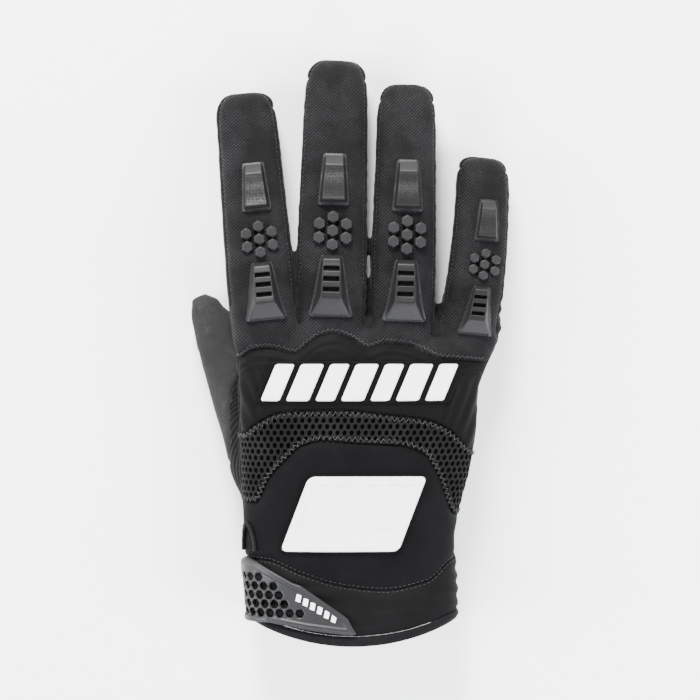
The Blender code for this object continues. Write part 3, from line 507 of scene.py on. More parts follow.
# Finishes

def node(tree, kind, inputs=(), **settings):
    made = tree.nodes.new(kind)
    for key, value in settings.items():
        setattr(made, key, value)
    for socket, value in dict(inputs).items():
        if isinstance(value, bpy.types.NodeSocket):
            tree.links.new(value, made.inputs[socket])
        else:
            made.inputs[socket].default_value = value
    return made


def math_node(tree, operation, first, second=0.0, clamp=False):
    inputs = {0: first, 1: second}
    return node(tree, "ShaderNodeMath", inputs, operation=operation, use_clamp=clamp).outputs[0]


def ribs(tree, where, direction, pitch):
    """Ribs from 0 to 1, across a direction of the cloth at a pitch in metres."""
    length = math.hypot(*direction)
    scale = tuple(part / length * math.tau / pitch for part in direction)
    dot = node(tree, "ShaderNodeVectorMath", {0: where, 1: scale}, operation="DOT_PRODUCT").outputs["Value"]
    return math_node(tree, "MULTIPLY_ADD", math_node(tree, "SINE", dot), 0.5)


def patches(tree, where, size, detail=2.0, roughness=0.55):
    """Soft patches from 0 to 1, of a size in metres."""
    inputs = {"Vector": where, "Scale": 1 / size, "Detail": detail, "Roughness": roughness}
    return node(tree, "ShaderNodeTexNoise", inputs).outputs["Fac"]


def mixed(tree, share, dark, light):
    made = node(tree, "ShaderNodeMix", data_type="RGBA")
    for socket, value in ((made.inputs[0], share), (made.inputs[6], dark), (made.inputs[7], light)):
        if isinstance(value, bpy.types.NodeSocket):
            tree.links.new(value, socket)
        else:
            socket.default_value = (*value, 1) if isinstance(value, tuple) else value
    return made.outputs[2]


def stretched_to(tree, value, low, high, new_low=0.0, new_high=1.0):
    inputs = {"Value": value, "From Min": low, "From Max": high, "To Min": new_low, "To Max": new_high}
    return node(tree, "ShaderNodeMapRange", inputs, interpolation_type="SMOOTHSTEP").outputs[0]


def finish(name, dark, light, roughness, weave=(), grain=0.0, nap=0.0, sheen=0.0, follows_cloth=True,
           weave_depth=0.25, grain_size=0.6, wear=None, gloss=0.05, spots=None):
    """A procedural finish. weave lists the ribs of the cloth: direction, pitch in mm and share of the depth.
    The ribs also set the colour, as a painted glint on the threads and painted shade in the hollows.
    grain and nap are fine and coarse unevenness in mm, spots a pitch in mm of small hollows,
    whose colour is darkened as painted shade."""
    material = bpy.data.materials.new(name)
    material.use_nodes = True
    tree = material.node_tree
    shader = tree.nodes["Principled BSDF"]
    shader.inputs["Sheen Weight"].default_value = sheen
    shader.inputs["Sheen Roughness"].default_value = 0.45
    shader.inputs["Sheen Tint"].default_value = (0.8, 0.82, 0.86, 1)
    shader.inputs["Specular IOR Level"].default_value = gloss
    solid = node(tree, "ShaderNodeTexCoord").outputs["Object"]
    flat = node(tree, "ShaderNodeUVMap", uv_map="cloth").outputs["UV"] if follows_cloth else solid
    patch = patches(tree, solid, 18 * MM, 3.0)
    fine = patches(tree, solid, grain_size * MM, 3.0, 0.7)
    total = None
    for direction, pitch, share in weave:
        rib = ribs(tree, flat, (*direction, 0)[:3], pitch * MM)
        part = math_node(tree, "MULTIPLY", rib, share)
        total = part if total is None else math_node(tree, "ADD", total, part)
    thread = total if total is not None else fine
    # shade sets the colour between dark and light: a woven cloth's ribs give a painted glint on the threads
    # and painted shade in the hollows, and the patches and the grain give tone that differs at random
    shade = math_node(tree, "MULTIPLY", thread, stretched_to(tree, patch, 0.35, 0.68, 0.35, 1.0))
    shade = math_node(tree, "MULTIPLY", shade, stretched_to(tree, fine, 0.3, 0.72, 0.45, 1.25), clamp=True)
    if spots:
        inputs = {"Vector": solid, "Scale": 1000 / spots, "Randomness": 0.45}
        cells = node(tree, "ShaderNodeTexVoronoi", inputs, voronoi_dimensions="2D")
        # the small hollows are painted darker, as painted shade, as well as sunk by the bump
        hollow = stretched_to(tree, cells.outputs["Distance"], 0.16, 0.30)
        shade = math_node(tree, "MULTIPLY", shade, hollow)
    colour = mixed(tree, shade, dark, light)
    if wear:
        rubbed = stretched_to(tree, patches(tree, solid, 7 * MM, 4.0, 0.65), 0.56, 0.74)
        colour = mixed(tree, math_node(tree, "MULTIPLY", rubbed, 0.55), colour, wear)
    tree.links.new(colour, shader.inputs["Base Color"])
    rough = stretched_to(tree, fine, 0.3, 0.7, roughness - 0.08, min(roughness + 0.07, 1.0))
    tree.links.new(rough, shader.inputs["Roughness"])
    height = math_node(tree, "MULTIPLY", hollow if spots else thread, weave_depth if weave or spots else 0.0)
    height = math_node(tree, "ADD", height, math_node(tree, "MULTIPLY", fine, grain))
    coarse = math_node(tree, "MULTIPLY", patches(tree, solid, 4 * MM, 3.0), nap)
    height = math_node(tree, "ADD", height, coarse)
    bump = node(tree, "ShaderNodeBump", {"Height": height, "Strength": 1.0, "Distance": MM})
    tree.links.new(bump.outputs[0], shader.inputs["Normal"])
    return material


# dark and light are the colours of the cloth's hollows and its threads, the threads' lighter colour a painted
# glint and the hollows' darker colour painted shade; without a weave they are tone that differs at random
knit_cloth = finish("finger_knit", (0.0011, 0.0011, 0.0013), (0.0166, 0.0162, 0.0173), 0.70, sheen=0.02,
                    grain=0.10, weave=(((-1, 1), 1.05, 0.50), ((1, 1), 0.90, 0.50)), weave_depth=0.32)
band_cloth = finish("knuckle_jersey", (0.0009, 0.0009, 0.0010), (0.0030, 0.0030, 0.0033), 0.70, sheen=0.02,
                    grain=0.05, weave=(((1, 0), 0.55, 0.6), ((0, 1), 0.7, 0.4)), weave_depth=0.05)
cuff_cloth = finish("cuff_jersey", (0.0012, 0.0012, 0.0014), (0.0048, 0.0044, 0.0048), 0.72, sheen=0.02,
                    grain=0.05, weave=(((1, 0), 0.6, 0.6), ((0, 1), 0.8, 0.4)), weave_depth=0.06)
twill = finish("back_twill", (0.0006, 0.0006, 0.0008), (0.0030, 0.0030, 0.0036), 0.70, sheen=0.01, grain=0.05,
               weave=(((1, 0.8), 0.85, 0.75), ((1, -1), 0.5, 0.25)), weave_depth=0.12)
mesh_backing = finish("mesh_backing", (0.0005, 0.0005, 0.0005), (0.0015, 0.0015, 0.0015), 0.9, grain=0.08)
mesh_strands = finish("mesh_strands", (0.0017, 0.0017, 0.0019), (0.0109, 0.0105, 0.0109), 0.6, grain=0.10,
                      sheen=0.02, follows_cloth=False, grain_size=0.35)
gusset_cloth = finish("finger_side_cloth", (0.0022, 0.0020, 0.0020), (0.0094, 0.0083, 0.0083), 0.70,
                      sheen=0.04, grain=0.05,
                      weave=(((1, 0), 0.7, 0.7), ((0, 1), 0.9, 0.3)), weave_depth=0.10, nap=0.25)
rib_cloth = finish("ribbed_cloth", (0.0008, 0.0008, 0.0010), (0.0084, 0.0084, 0.0092), 0.7, sheen=0.02,
                   grain=0.06, weave=(((1, 0), 1.5, 0.8), ((0, 1), 0.8, 0.2)), weave_depth=0.45)
suede = finish("palm_suede", (0.0021, 0.0021, 0.0021), (0.0059, 0.0059, 0.0059), 0.95, sheen=0.05, grain=0.16,
               follows_cloth=False, nap=0.12, gloss=0.05, wear=(0.0084, 0.0080, 0.0080))
thumb_suede = finish("thumb_suede", (0.0108, 0.0108, 0.0108), (0.0264, 0.0258, 0.0258), 0.95, sheen=0.06,
                     grain=0.2, follows_cloth=False, nap=0.2, gloss=0.05, wear=(0.0312, 0.0306, 0.0300))
thumb_mesh = finish("thumb_mesh", (0.0008, 0.0008, 0.0008), (0.0118, 0.0118, 0.0122), 0.7, grain=0.05,
                    sheen=0.02, weave=(((1, 0.6), 1.1, 0.5), ((-1, 0.6), 1.1, 0.5)), weave_depth=0.3)
tape = finish("edge_tape", (0.0017, 0.0017, 0.0019), (0.0076, 0.0076, 0.0084), 0.68, sheen=0.02, grain=0.05,
              weave=(((1, 0), 0.7, 0.65), ((0, 1), 0.9, 0.35)), weave_depth=0.14)
loop_tape = finish("loop_tape", (0.0017, 0.0017, 0.0019), (0.0084, 0.0084, 0.0092), 0.68, sheen=0.02,
                   grain=0.06, follows_cloth=False, weave=(((0.3, 1), 0.8, 0.65), ((1, -0.3), 0.7, 0.35)),
                   weave_depth=0.16)
loop_cloth = finish("strap_loop_cloth", (0.0010, 0.0010, 0.0010), (0.0110, 0.0110, 0.0110), 0.95, sheen=0.03,
                    grain=0.4, follows_cloth=False, nap=0.2, grain_size=0.7, gloss=0.04,
                    weave=(((1, 0.1), 2.3, 0.7), ((-0.1, 1), 1.1, 0.3)), weave_depth=0.7)
guard_rubber = finish("guard_rubber", (0.0043, 0.0043, 0.0046), (0.0081, 0.0081, 0.0086), 0.44, grain=0.035,
                      gloss=0.16, follows_cloth=False, grain_size=0.25, wear=(0.0103, 0.0103, 0.0108))
# dotted_rubber: its small hollows are painted darker, as painted shade
dotted_rubber = finish("dotted_rubber", (0.0016, 0.0016, 0.0016), (0.0086, 0.0086, 0.0092), 0.46, grain=0.035,
                       gloss=0.16, follows_cloth=False, grain_size=0.25, spots=1.25)
stud_rubber = finish("stud_rubber", (0.0082, 0.0082, 0.0088), (0.0136, 0.0136, 0.0143), 0.50, grain=0.03,
                     gloss=0.16, follows_cloth=False, grain_size=0.3)
strap_rubber = finish("strap_rubber", (0.0109, 0.0109, 0.0118), (0.0168, 0.0168, 0.0181), 0.44, grain=0.03,
                      gloss=0.18, follows_cloth=False, grain_size=0.3, wear=(0.0210, 0.0210, 0.0223))
# near-black rubber: painted shade on the floors of the base guards' slots, and the badges' dark plates
slot_shade_and_plate_rubber = finish("slot_shade_and_plate_rubber", (0.0008, 0.0008, 0.0008), (0.0016, 0.0016, 0.0016), 0.7, grain=0.02,
                     follows_cloth=False)
white_rubber = finish("white_rubber", (0.74, 0.72, 0.71), (0.86, 0.84, 0.83), 0.42, grain=0.02, gloss=0.5,
                      follows_cloth=False, grain_size=3.0, wear=(0.64, 0.58, 0.56))
silicone = finish("grip_silicone", (0.76, 0.75, 0.74), (0.88, 0.87, 0.86), 0.40, grain=0.02, gloss=0.5,
                  follows_cloth=False)
thread = finish("seam_thread", (0.0044, 0.0044, 0.0050), (0.0220, 0.0220, 0.0231), 0.5, grain=0.05,
                follows_cloth=False, weave=(((1, 1, 0.4), 0.35, 1.0),), weave_depth=0.05, gloss=0.3)
lining = finish("lining", (0.0020, 0.0020, 0.0020), (0.0060, 0.0060, 0.0060), 0.85, grain=0.08,
                follows_cloth=False)


# Pieces as they are made

def linked(name, mesh):
    made = bpy.data.objects.new(name, mesh)
    bpy.context.scene.collection.objects.link(made)
    return made


def plain_mesh(name, points, faces, edges=()):
    mesh = bpy.data.meshes.new(name)
    rows = faces.tolist() if isinstance(faces, np.ndarray) else faces
    mesh.from_pydata(np.asarray(points).tolist(), [tuple(edge) for edge in edges], rows)
    return mesh


def outward(mesh):
    """Merges doubles and turns every face of a closed mesh outwards."""
    shape = bmesh.new()
    shape.from_mesh(mesh)
    bmesh.ops.remove_doubles(shape, verts=shape.verts, dist=1e-6)
    bmesh.ops.recalc_face_normals(shape, faces=shape.faces)
    shape.to_mesh(mesh)
    shape.free()
    mesh.shade_smooth()
    return mesh


def ride(piece, slot, *nodes):
    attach(piece, "root")
    if nodes:
        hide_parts(*nodes)
    return piece


def finished(name, mesh, material, slot, *nodes):
    piece = linked(name, outward(mesh))
    if not piece.data.materials:
        piece.data.materials.append(material)
    return ride(piece, slot, *nodes)


# What repeats or follows a path

class Recipe:
    """A Geometry Nodes tree with named inputs, which turns a source mesh into a plain mesh."""

    def __init__(self, name, inputs):
        self.tree = bpy.data.node_groups.new(name, "GeometryNodeTree")
        sockets = self.tree.interface
        sockets.new_socket("Geometry", in_out="INPUT", socket_type="NodeSocketGeometry")
        for title, kind in inputs.items():
            sockets.new_socket(title, in_out="INPUT", socket_type=f"NodeSocket{kind}")
        sockets.new_socket("Geometry", in_out="OUTPUT", socket_type="NodeSocketGeometry")
        self.given = self.tree.nodes.new("NodeGroupInput").outputs

    def add(self, kind, inputs=(), **settings):
        return node(self.tree, kind, inputs, **settings)

    def end(self, geometry):
        real = self.add("GeometryNodeRealizeInstances", {"Geometry": geometry})
        done = self.add("GeometryNodeSetMaterial",
                        {"Geometry": real.outputs[0], "Material": self.given["Material"]})
        leave = self.tree.nodes.new("NodeGroupOutput")
        self.tree.links.new(done.outputs[0], leave.inputs[0])

    def make(self, name, source, values):
        holder = linked(f"{name}_source", source)
        step = holder.modifiers.new(self.tree.name, "NODES")
        step.node_group = self.tree
        for item in self.tree.interface.items_tree:
            if item.in_out == "INPUT" and item.name in values:
                step[item.identifier] = values[item.name]
        bpy.context.view_layer.update()
        mesh = bpy.data.meshes.new_from_object(holder.evaluated_get(bpy.context.evaluated_depsgraph_get()))
        bpy.data.objects.remove(holder)
        return mesh


def turned(recipe, ahead):
    """The rotation that lays +X along ahead and +Z along the attribute up."""
    up = recipe.add("GeometryNodeInputNamedAttribute", {"Name": "up"}, data_type="FLOAT_VECTOR").outputs[0]
    lay = recipe.add("FunctionNodeAlignRotationToVector", {"Vector": ahead}, axis="X")
    return recipe.add("FunctionNodeAlignRotationToVector", {"Rotation": lay.outputs[0], "Vector": up},
                      axis="Z", pivot_axis="X")


def stitch_recipe():
    """Stitches along paths, each turned to and fro by Swing."""
    recipe = Recipe("stitch_row",
                    {"Spacing": "Float", "Length": "Float", "Thickness": "Float", "Swing": "Float",
                                   "Material": "Material"})
    given = recipe.given
    curve = recipe.add("GeometryNodeMeshToCurve", {"Mesh": given["Geometry"]})
    row = recipe.add("GeometryNodeResampleCurve", {"Curve": curve.outputs[0], "Length": given["Spacing"]},
                     mode="LENGTH")
    tangent = recipe.add("GeometryNodeInputTangent").outputs[0]
    index = recipe.add("GeometryNodeInputIndex").outputs[0]
    odd = recipe.add("ShaderNodeMath", {0: index, 1: 2.0}, operation="MODULO").outputs[0]
    side = recipe.add("ShaderNodeMath", {0: odd, 1: 2.0, 2: -1.0}, operation="MULTIPLY_ADD").outputs[0]
    angle = recipe.add("ShaderNodeMath", {0: side, 1: given["Swing"]}, operation="MULTIPLY").outputs[0]
    swing = recipe.add("FunctionNodeAxisAngleToRotation", {"Axis": (0, 0, 1), "Angle": angle})
    lay = turned(recipe, tangent)
    turn = recipe.add("FunctionNodeRotateRotation",
                      {"Rotation": lay.outputs[0], "Rotate By": swing.outputs[0]}, rotation_space="LOCAL")
    stitch = recipe.add("GeometryNodeMeshUVSphere", {"Segments": 7, "Rings": 5, "Radius": 0.5})
    size = recipe.add("ShaderNodeCombineXYZ",
                      {"X": given["Length"], "Y": given["Thickness"], "Z": given["Thickness"]})
    shaped = recipe.add("GeometryNodeTransform", {"Geometry": stitch.outputs[0], "Scale": size.outputs[0]})
    placed = recipe.add("GeometryNodeInstanceOnPoints",
                        {"Points": row.outputs[0], "Instance": shaped.outputs[0],
                                                         "Rotation": turn.outputs[0]})
    recipe.end(placed.outputs[0])
    return recipe


def copy_recipe():
    """Copies of a piece at points, which carry up and ahead and a size."""
    recipe = Recipe("copies_on_points", {"Copy": "Object", "Size": "Float", "Material": "Material"})
    given = recipe.given
    ahead = recipe.add("GeometryNodeInputNamedAttribute", {"Name": "ahead"},
                       data_type="FLOAT_VECTOR").outputs[0]
    copied = recipe.add("GeometryNodeObjectInfo", {"Object": given["Copy"]}, transform_space="ORIGINAL")
    placed = recipe.add("GeometryNodeInstanceOnPoints",
                        {"Points": given["Geometry"], "Instance": copied.outputs["Geometry"],
                                                         "Rotation": turned(recipe, ahead).outputs[0],
                                                         "Scale": given["Size"]})
    recipe.end(placed.outputs[0])
    return recipe


STITCHES, COPIES = stitch_recipe(), copy_recipe()


def points_mesh(name, points, edges=(), **directions):
    """Points with a direction attribute for each name given."""
    mesh = plain_mesh(name, points, [], edges)
    for key, vectors in directions.items():
        layer = mesh.attributes.new(key, "FLOAT_VECTOR", "POINT")
        layer.data.foreach_set("vector", np.asarray(vectors, float).ravel())
    return mesh


def paths_mesh(name, paths):
    """Several paths in one mesh. A path is its points and the surface's normals there."""
    points = np.vstack([path[0] for path in paths])
    normals = np.vstack([path[1] for path in paths])
    edges, first = [], 0
    for path, _ in paths:
        edges += [(first + i, first + i + 1) for i in range(len(path) - 1)]
        first += len(path)
    return points_mesh(name, points, edges, up=normals)


# Panels

def edge_distance(points, faces):
    """Each point's distance to the nearest edge of the panel."""
    unique, count = np.unique(np.sort(edges_of(faces), axis=1), axis=0, return_counts=True)
    rim = np.unique(unique[count == 1])
    tree = kdtree.KDTree(len(rim))
    for i, index in enumerate(rim):
        tree.insert(points[index], i)
    tree.balance()
    return np.array([tree.find(point)[2] for point in points])


def folds(points, size, seed=0.0):
    """Noise from about -1 to 1, of a size in metres for each axis."""
    scale = np.broadcast_to(np.asarray(size, float), (3,))
    return np.array([noise.noise(Vector(point)) for point in points / scale + seed])


def cloth_uv(kind, points):
    """Coordinates in metres that follow the cloth, for its weave."""
    if kind == "hand":
        along, u, v, _, _ = hand_coordinates(points)
        return np.stack([arc_of(angle_at(u, v)), along * HAND_LENGTH], 1)
    if kind == "side":
        return points[:, [1, 2]]
    if kind == "thumb":
        along, u, v, _, _ = DIGITS["thumb"].coordinates(points)
        return np.stack([np.arctan2(v, u) * 12 * MM, along * DIGITS["thumb"].length], 1)
    return points[:, :2]


PANELS = {}


def make_panel(name, skin, faces, material, slot, uv="flat", puff=0.5, sink=0.55, roll=1.6, wall=1.2,
               relief=None, under=None):
    """One sewn panel: its edges roll in to the seam, it swells between them, and relief adds its own folds.
    puff, sink, roll and wall are in millimetres."""
    used, back = np.unique(faces, return_inverse=True)
    faces = back.reshape(faces.shape)
    points, normals = skin.points[used], skin.normals[used]
    distance = edge_distance(points, faces)
    swell = 1 - np.exp(-(distance / (roll * MM)) ** 1.5)
    rise = puff * MM * swell - sink * MM * np.exp(-(distance / (0.7 * MM)) ** 2)
    if relief is not None:
        rise = rise + relief(points) * MM * swell
    moved = points + normals * rise[:, None]
    moved[:, 2] = np.maximum(moved[:, 2], 0.05 * MM)
    mesh = plain_mesh(name, moved, faces)
    layer = mesh.uv_layers.new(name="cloth")
    corners = np.empty(len(mesh.loops), int)
    mesh.loops.foreach_get("vertex_index", corners)
    layer.data.foreach_set("uv", cloth_uv(uv, points)[corners].ravel())
    mesh.shade_smooth()
    panel = linked(name, mesh)
    PANELS[name] = (moved, faces)
    for cloth in (material, lining, under or material):
        panel.data.materials.append(cloth)
    if under:
        corner, second, third = (moved[faces[:, i]] for i in range(3))
        facing = np.cross(second - corner, third - corner)[:, 2]
        mesh.polygons.foreach_set("material_index", np.where(facing < 0, 2, 0))
    thick = panel.modifiers.new("cloth_thickness", "SOLIDIFY")
    thick.thickness, thick.offset, thick.material_offset = wall * MM, -1, 1
    return ride(panel, slot, name)


def path_distance(points, path):
    """Each point's distance across the ground to a path of straight stretches."""
    least = np.full(len(points), 1.0)
    for a, b in zip(path[:-1], path[1:]):
        step = b - a
        share = np.clip((points[:, :2] - a) @ step / (step @ step), 0, 1)
        least = np.minimum(least, np.hypot(*(points[:, :2] - a - share[:, None] * step).T))
    return least


def palm_path(*places):
    """A path on the palm, in millimetres to the little finger's side and to the fingertips."""
    return np.array(places, float) * MM


# The palm's quilting, in millimetres
PALM_QUILTING = [
    palm_path((44.1, 38.1), (19.2, 44.4), (17.5, 42.1), (22.6, 35.9), (32.8, 31.9), (42.5, 25.7),
              (42.5, 18.9), (40.8, 1.4), (36.2, -11.1), (29.4, -16.2), (18.7, -15.6), (10.8, -11.7),
              (5.7, 0.2), (1.1, 8.1), (-2.8, 13.8)),
    palm_path((-2.8, 9.8), (-5.1, 6.4), (-4.5, -7.7), (-6.2, -13.4), (-11.9, -15.6), (-19.8, -15.6),
              (-27.7, -9.4), (-33.4, 1.4), (-35.7, 16.1)),
    palm_path((-21.5, 53.4), (-37.4, 59.1), (-45.8, 56.3)),
    palm_path((-21.5, 46.6), (-28.3, 44.9), (-44.1, 43.2)),
    palm_path((50.9, 54.0), (50.9, 74.9), (48.1, 78.9), (40.8, 78.9)),
    palm_path((37.4, 72.1), (32.3, 68.1), (25.5, 71.5)),
    palm_path((7.9, 81.2), (1.7, 77.2), (-4.5, 81.2)),
]


def knuckle_relief(points):
    depth = -above_knuckles(points)
    side = np.abs(points[:, 0]) - 33 * MM
    top = np.cos(depth * math.tau / (3.4 * MM)) * np.exp(-(depth / (8.5 * MM)) ** 4)
    edge = np.cos((side + 0.35 * depth) * math.tau / (4.2 * MM)) * step_between(side, 0, 6 * MM)
    return 0.34 * top + 0.30 * edge * (1 - np.exp(-(depth / (8 * MM)) ** 4)) + 0.25 * folds(points, 0.016)


def cuff_relief(points):
    bend = folds(points, (0.030, 0.012, 0.030), 4.0)
    return 0.38 * np.cos(points[:, 1] * math.tau / (7.5 * MM) + 3.5 * bend) + 0.35 * bend


def knit_relief(points):
    return 0.45 * folds(points, (0.020, 0.007, 0.020), 2.0) + 0.12 * folds(points, 0.0035, 7.0)


def pad_relief(points):
    return 0.55 * folds(points, 0.020, 1.0)


def mesh_relief(points):
    return np.full(len(points), -0.55) + 0.3 * folds(points, 0.015, 3.0)


def palm_relief(points):
    rise = 0.40 * folds(points, 0.012, 5.0) + 0.30 * folds(points, (0.030, 0.004, 0.030), 6.0)
    for path in PALM_QUILTING:
        near = path_distance(points, path)
        groove = np.exp(-(near / (1.1 * MM)) ** 2)
        bank = np.exp(-((near - 3.2 * MM) / (2 * MM)) ** 2)
        rise = rise - 0.9 * groove + 0.5 * bank
    return np.where(points[:, 2] < 16 * MM, rise, 0.3 * folds(points, 0.014, 5.0))


def thumb_relief(points):
    along = DIGITS["thumb"].coordinates(points)[0]
    crumple = folds(points, (0.006, 0.005, 0.006), 8.0) * step_between(along, 0.55, 0.85)
    return 0.8 * crumple + 0.5 * folds(points, 0.014, 9.0)


def gusset_relief(points):
    root = np.exp(-((points[:, 1] - 66 * MM) / (9 * MM)) ** 2)
    return (0.25 + 0.9 * root) * folds(points, (0.006, 0.0028, 0.012), 10.0)


def make_panels():
    """Every sewn panel, cut off the form one after another."""
    skin = Skin()
    skin.cut(lambda p: -past_mouth(p))
    binding = skin.cut(lambda p: BINDING_WIDTH - past_mouth(p))
    cuff = skin.cut(lambda p: -beyond_cuff(p))
    make_panel("cuff_binding", skin, binding, tape, "binding", uv="hand", puff=0.9, sink=0.1, roll=1.2,
               wall=1.8)
    make_panel("cuff", skin, cuff, cuff_cloth, "neoprene", uv="hand", puff=0.3, relief=cuff_relief, wall=1.6)
    edge = skin.cut(little_edge)
    make_panel("little_edge_gusset", skin, edge, gusset_cloth, "gusset", uv="side", puff=0.2,
               relief=gusset_relief)
    for key, following in CROTCHES:
        made = skin.cut(gusset(key, following))
        make_panel(f"{key}_{following}_gusset", skin, made, gusset_cloth, "gusset", uv="side", puff=0.1,
                   relief=gusset_relief)
    pad = skin.cut(lambda p: np.minimum(roof(p), -above_pad(p)))
    make_panel("back_pad", skin, pad, twill, "twill", puff=1.0, roll=2.6, relief=pad_relief)
    arch = skin.cut(lambda p: np.minimum(roof(p), -above_mesh(p)))
    make_panel("air_mesh_panel", skin, arch, mesh_backing, "air_mesh", uv="hand", puff=0.0,
               relief=mesh_relief)
    band = skin.cut(lambda p: np.minimum(roof(p), -above_knuckles(p)))
    make_panel("knuckle_band", skin, band, band_cloth, "neoprene", uv="hand", puff=1.0, roll=2.2,
                         relief=knuckle_relief)
    make_panel("knit_back", skin, skin.cut(roof), knit_cloth, "knit", relief=knit_relief, puff=0.6)
    make_panel("rib_panel", skin, skin.cut(rib_zone), rib_cloth, "rib_knit", uv="hand", puff=0.6)
    outer = skin.cut(lambda p: np.minimum(thumb_zone(p), thumb_outer(p)))
    make_panel("thumb_back", skin, outer, thumb_mesh, "air_mesh", uv="thumb", relief=thumb_relief)
    make_panel("thumb_panel", skin, skin.cut(thumb_zone), thumb_suede, "suede", uv="thumb",
               relief=thumb_relief, under=suede)
    make_panel("palm_panel", skin, skin.left, suede, "suede", relief=palm_relief)


class Surface:
    """The sewn panels' outside, for what is set on them."""

    def __init__(self, *names):
        points, faces, first = [], [], 0
        for name in names or PANELS:
            points += PANELS[name][0].tolist()
            faces += (PANELS[name][1] + first).tolist()
            first = len(points)
        self.tree = BVHTree.FromPolygons(points, faces)

    def meet(self, x, y, above=True):
        """The places and normals where straight lines from above, or below, first meet the surface."""
        shape = np.shape(x)
        start, way = (0.2, Vector((0, 0, -1))) if above else (-0.1, Vector((0, 0, 1)))
        places, normals = [], []
        for px, py in zip(np.ravel(x), np.ravel(y)):
            hit, normal, _, _ = self.tree.ray_cast(Vector((px, py, start)), way)
            places.append(hit if hit else (np.nan,) * 3)
            normals.append(normal if hit else (np.nan,) * 3)
        return np.array(places).reshape(*shape, 3), np.array(normals).reshape(*shape, 3)

    def near(self, points):
        shape = np.shape(points)
        found = [self.tree.find_nearest(Vector(p)) for p in np.reshape(points, (-1, 3))]
        places = np.array([f[0] for f in found]).reshape(shape)
        return places, np.array([f[1] for f in found]).reshape(shape)


def even(path, step=0.5 * MM, rounds=0):
    """A path's points at even steps, with its corners cut first where rounds is over 0."""
    path = np.asarray(path, float)
    for _ in range(rounds):
        near, far = path[:-1] * 0.75 + path[1:] * 0.25, path[:-1] * 0.25 + path[1:] * 0.75
        middle = np.stack([near, far], 1).reshape(-1, path.shape[1])
        path = np.vstack([path[:1], middle, path[-1:]])
    lengths = np.concatenate([[0], np.cumsum(np.linalg.norm(np.diff(path, axis=0), axis=1))])
    count = max(int(lengths[-1] / step), 2)
    at = np.linspace(0, lengths[-1], count + 1)
    return np.stack([np.interp(at, lengths, axis) for axis in path.T], 1)


def laid(surface, path, height=0.0, above=True, rounds=1, turn=0.25):
    """A flat path laid on the surface: its longest run that meets it, as points and normals."""
    flat = even(path, rounds=rounds)
    places, normals = surface.meet(flat[:, 0], flat[:, 1], above)
    good = ~np.isnan(places[:, 0]) & (np.abs(np.nan_to_num(normals[:, 2])) > turn)
    steps = np.linalg.norm(np.nan_to_num(np.diff(places, axis=0)), axis=1)
    good[1:] &= steps < 3 * MM
    if good.sum() < 4:
        return None
    places, normals = places[good], normals[good]
    return places + normals * height, normals


def seam_path(seam, shift, left=-0.93, right=0.98):
    side = np.linspace(left, right, 220)
    along = curve_through(seam[:, 0], seam[:, 1:], side)[:, 0]
    return np.stack([side * HALF_WIDTH, along * HAND_LENGTH - ORIGIN_ALONG + shift], 1)


def tip_path(key, start=0.16, v=0.70):
    """Round a fingertip, just above its side seams."""
    digit = DIGITS[key]
    along = start + (0.999 - start) * np.sin(np.linspace(0, math.pi / 2, 60))
    width = (1 - v ** digit.roundness) ** (1 / digit.roundness)
    right = digit.place(along, width, v)
    left = digit.place(along, -width, v)
    return even(np.vstack([right, left[::-1]]), 0.5 * MM)


def make_stitches(surface):
    fine, zigzag, bold = [], [], []
    for key in FINGERS:
        places, normals = surface.near(tip_path(key))
        fine.append((places + normals * 0.12 * MM, normals))
    for shift in (-0.9, 0.9):
        fine.append(laid(surface, seam_path(CUFF_SEAM, shift * MM, -0.86, 0.84), 0.1 * MM))
    zigzag.append(laid(surface, seam_path(KNUCKLE_SEAM, 1.4 * MM, -0.95, 1.06), 0.12 * MM))
    bold.append(laid(surface, seam_path(MESH_UPPER_SEAM, -1.5 * MM), 0.75 * MM))
    bold.append(laid(surface, seam_path(MESH_LOWER_SEAM, 1.5 * MM), 0.75 * MM))
    for path in PALM_QUILTING:
        fine.append(laid(surface, path, 0.05 * MM, above=False, rounds=2))
    fine = [path for path in fine if path]
    rows = [("seam_stitches", fine, 1.9, 1.35, 0.30, 0.0), ("knuckle_zigzag", zigzag, 0.95, 1.7, 0.34, 0.95),
            ("mesh_zigzag", bold, 1.15, 2.9, 0.40, 0.98)]
    for name, paths, spacing, length, thickness, swing in rows:
        values = {"Spacing": spacing * MM, "Length": length * MM, "Thickness": thickness * MM, "Swing": swing,
                  "Material": thread}
        mesh = STITCHES.make(name, paths_mesh(name, paths), values)
        mesh.shade_smooth()
        ride(linked(name, mesh), "binding")


# Moulded pieces

def grid_slab(x, y, top, bottom):
    """A closed slab over a grid of places, between two heights."""
    rows, columns = x.shape
    count = rows * columns
    index = np.arange(count).reshape(rows, columns)
    cells = np.stack([index[:-1, :-1], index[:-1, 1:], index[1:, 1:], index[1:, :-1]], -1).reshape(-1, 4)
    rim = np.concatenate([index[0], index[1:, -1], index[-1, -2::-1], index[-2:0:-1, 0]])
    after = np.roll(rim, -1)
    walls = np.stack([rim, after, after + count, rim + count], -1)
    points = np.vstack([np.stack([x, y, height], -1).reshape(-1, 3) for height in (top, bottom)])
    return points, np.vstack([cells, cells[:, ::-1] + count, walls])


def softened(values, rounds):
    for _ in range(rounds):
        padded = np.pad(values, 1, mode="edge")
        values = (2 * padded[1:-1, 1:-1] + padded[:-2, 1:-1] + padded[2:, 1:-1]
                  + padded[1:-1, :-2] + padded[1:-1, 2:]) / 6
    return values


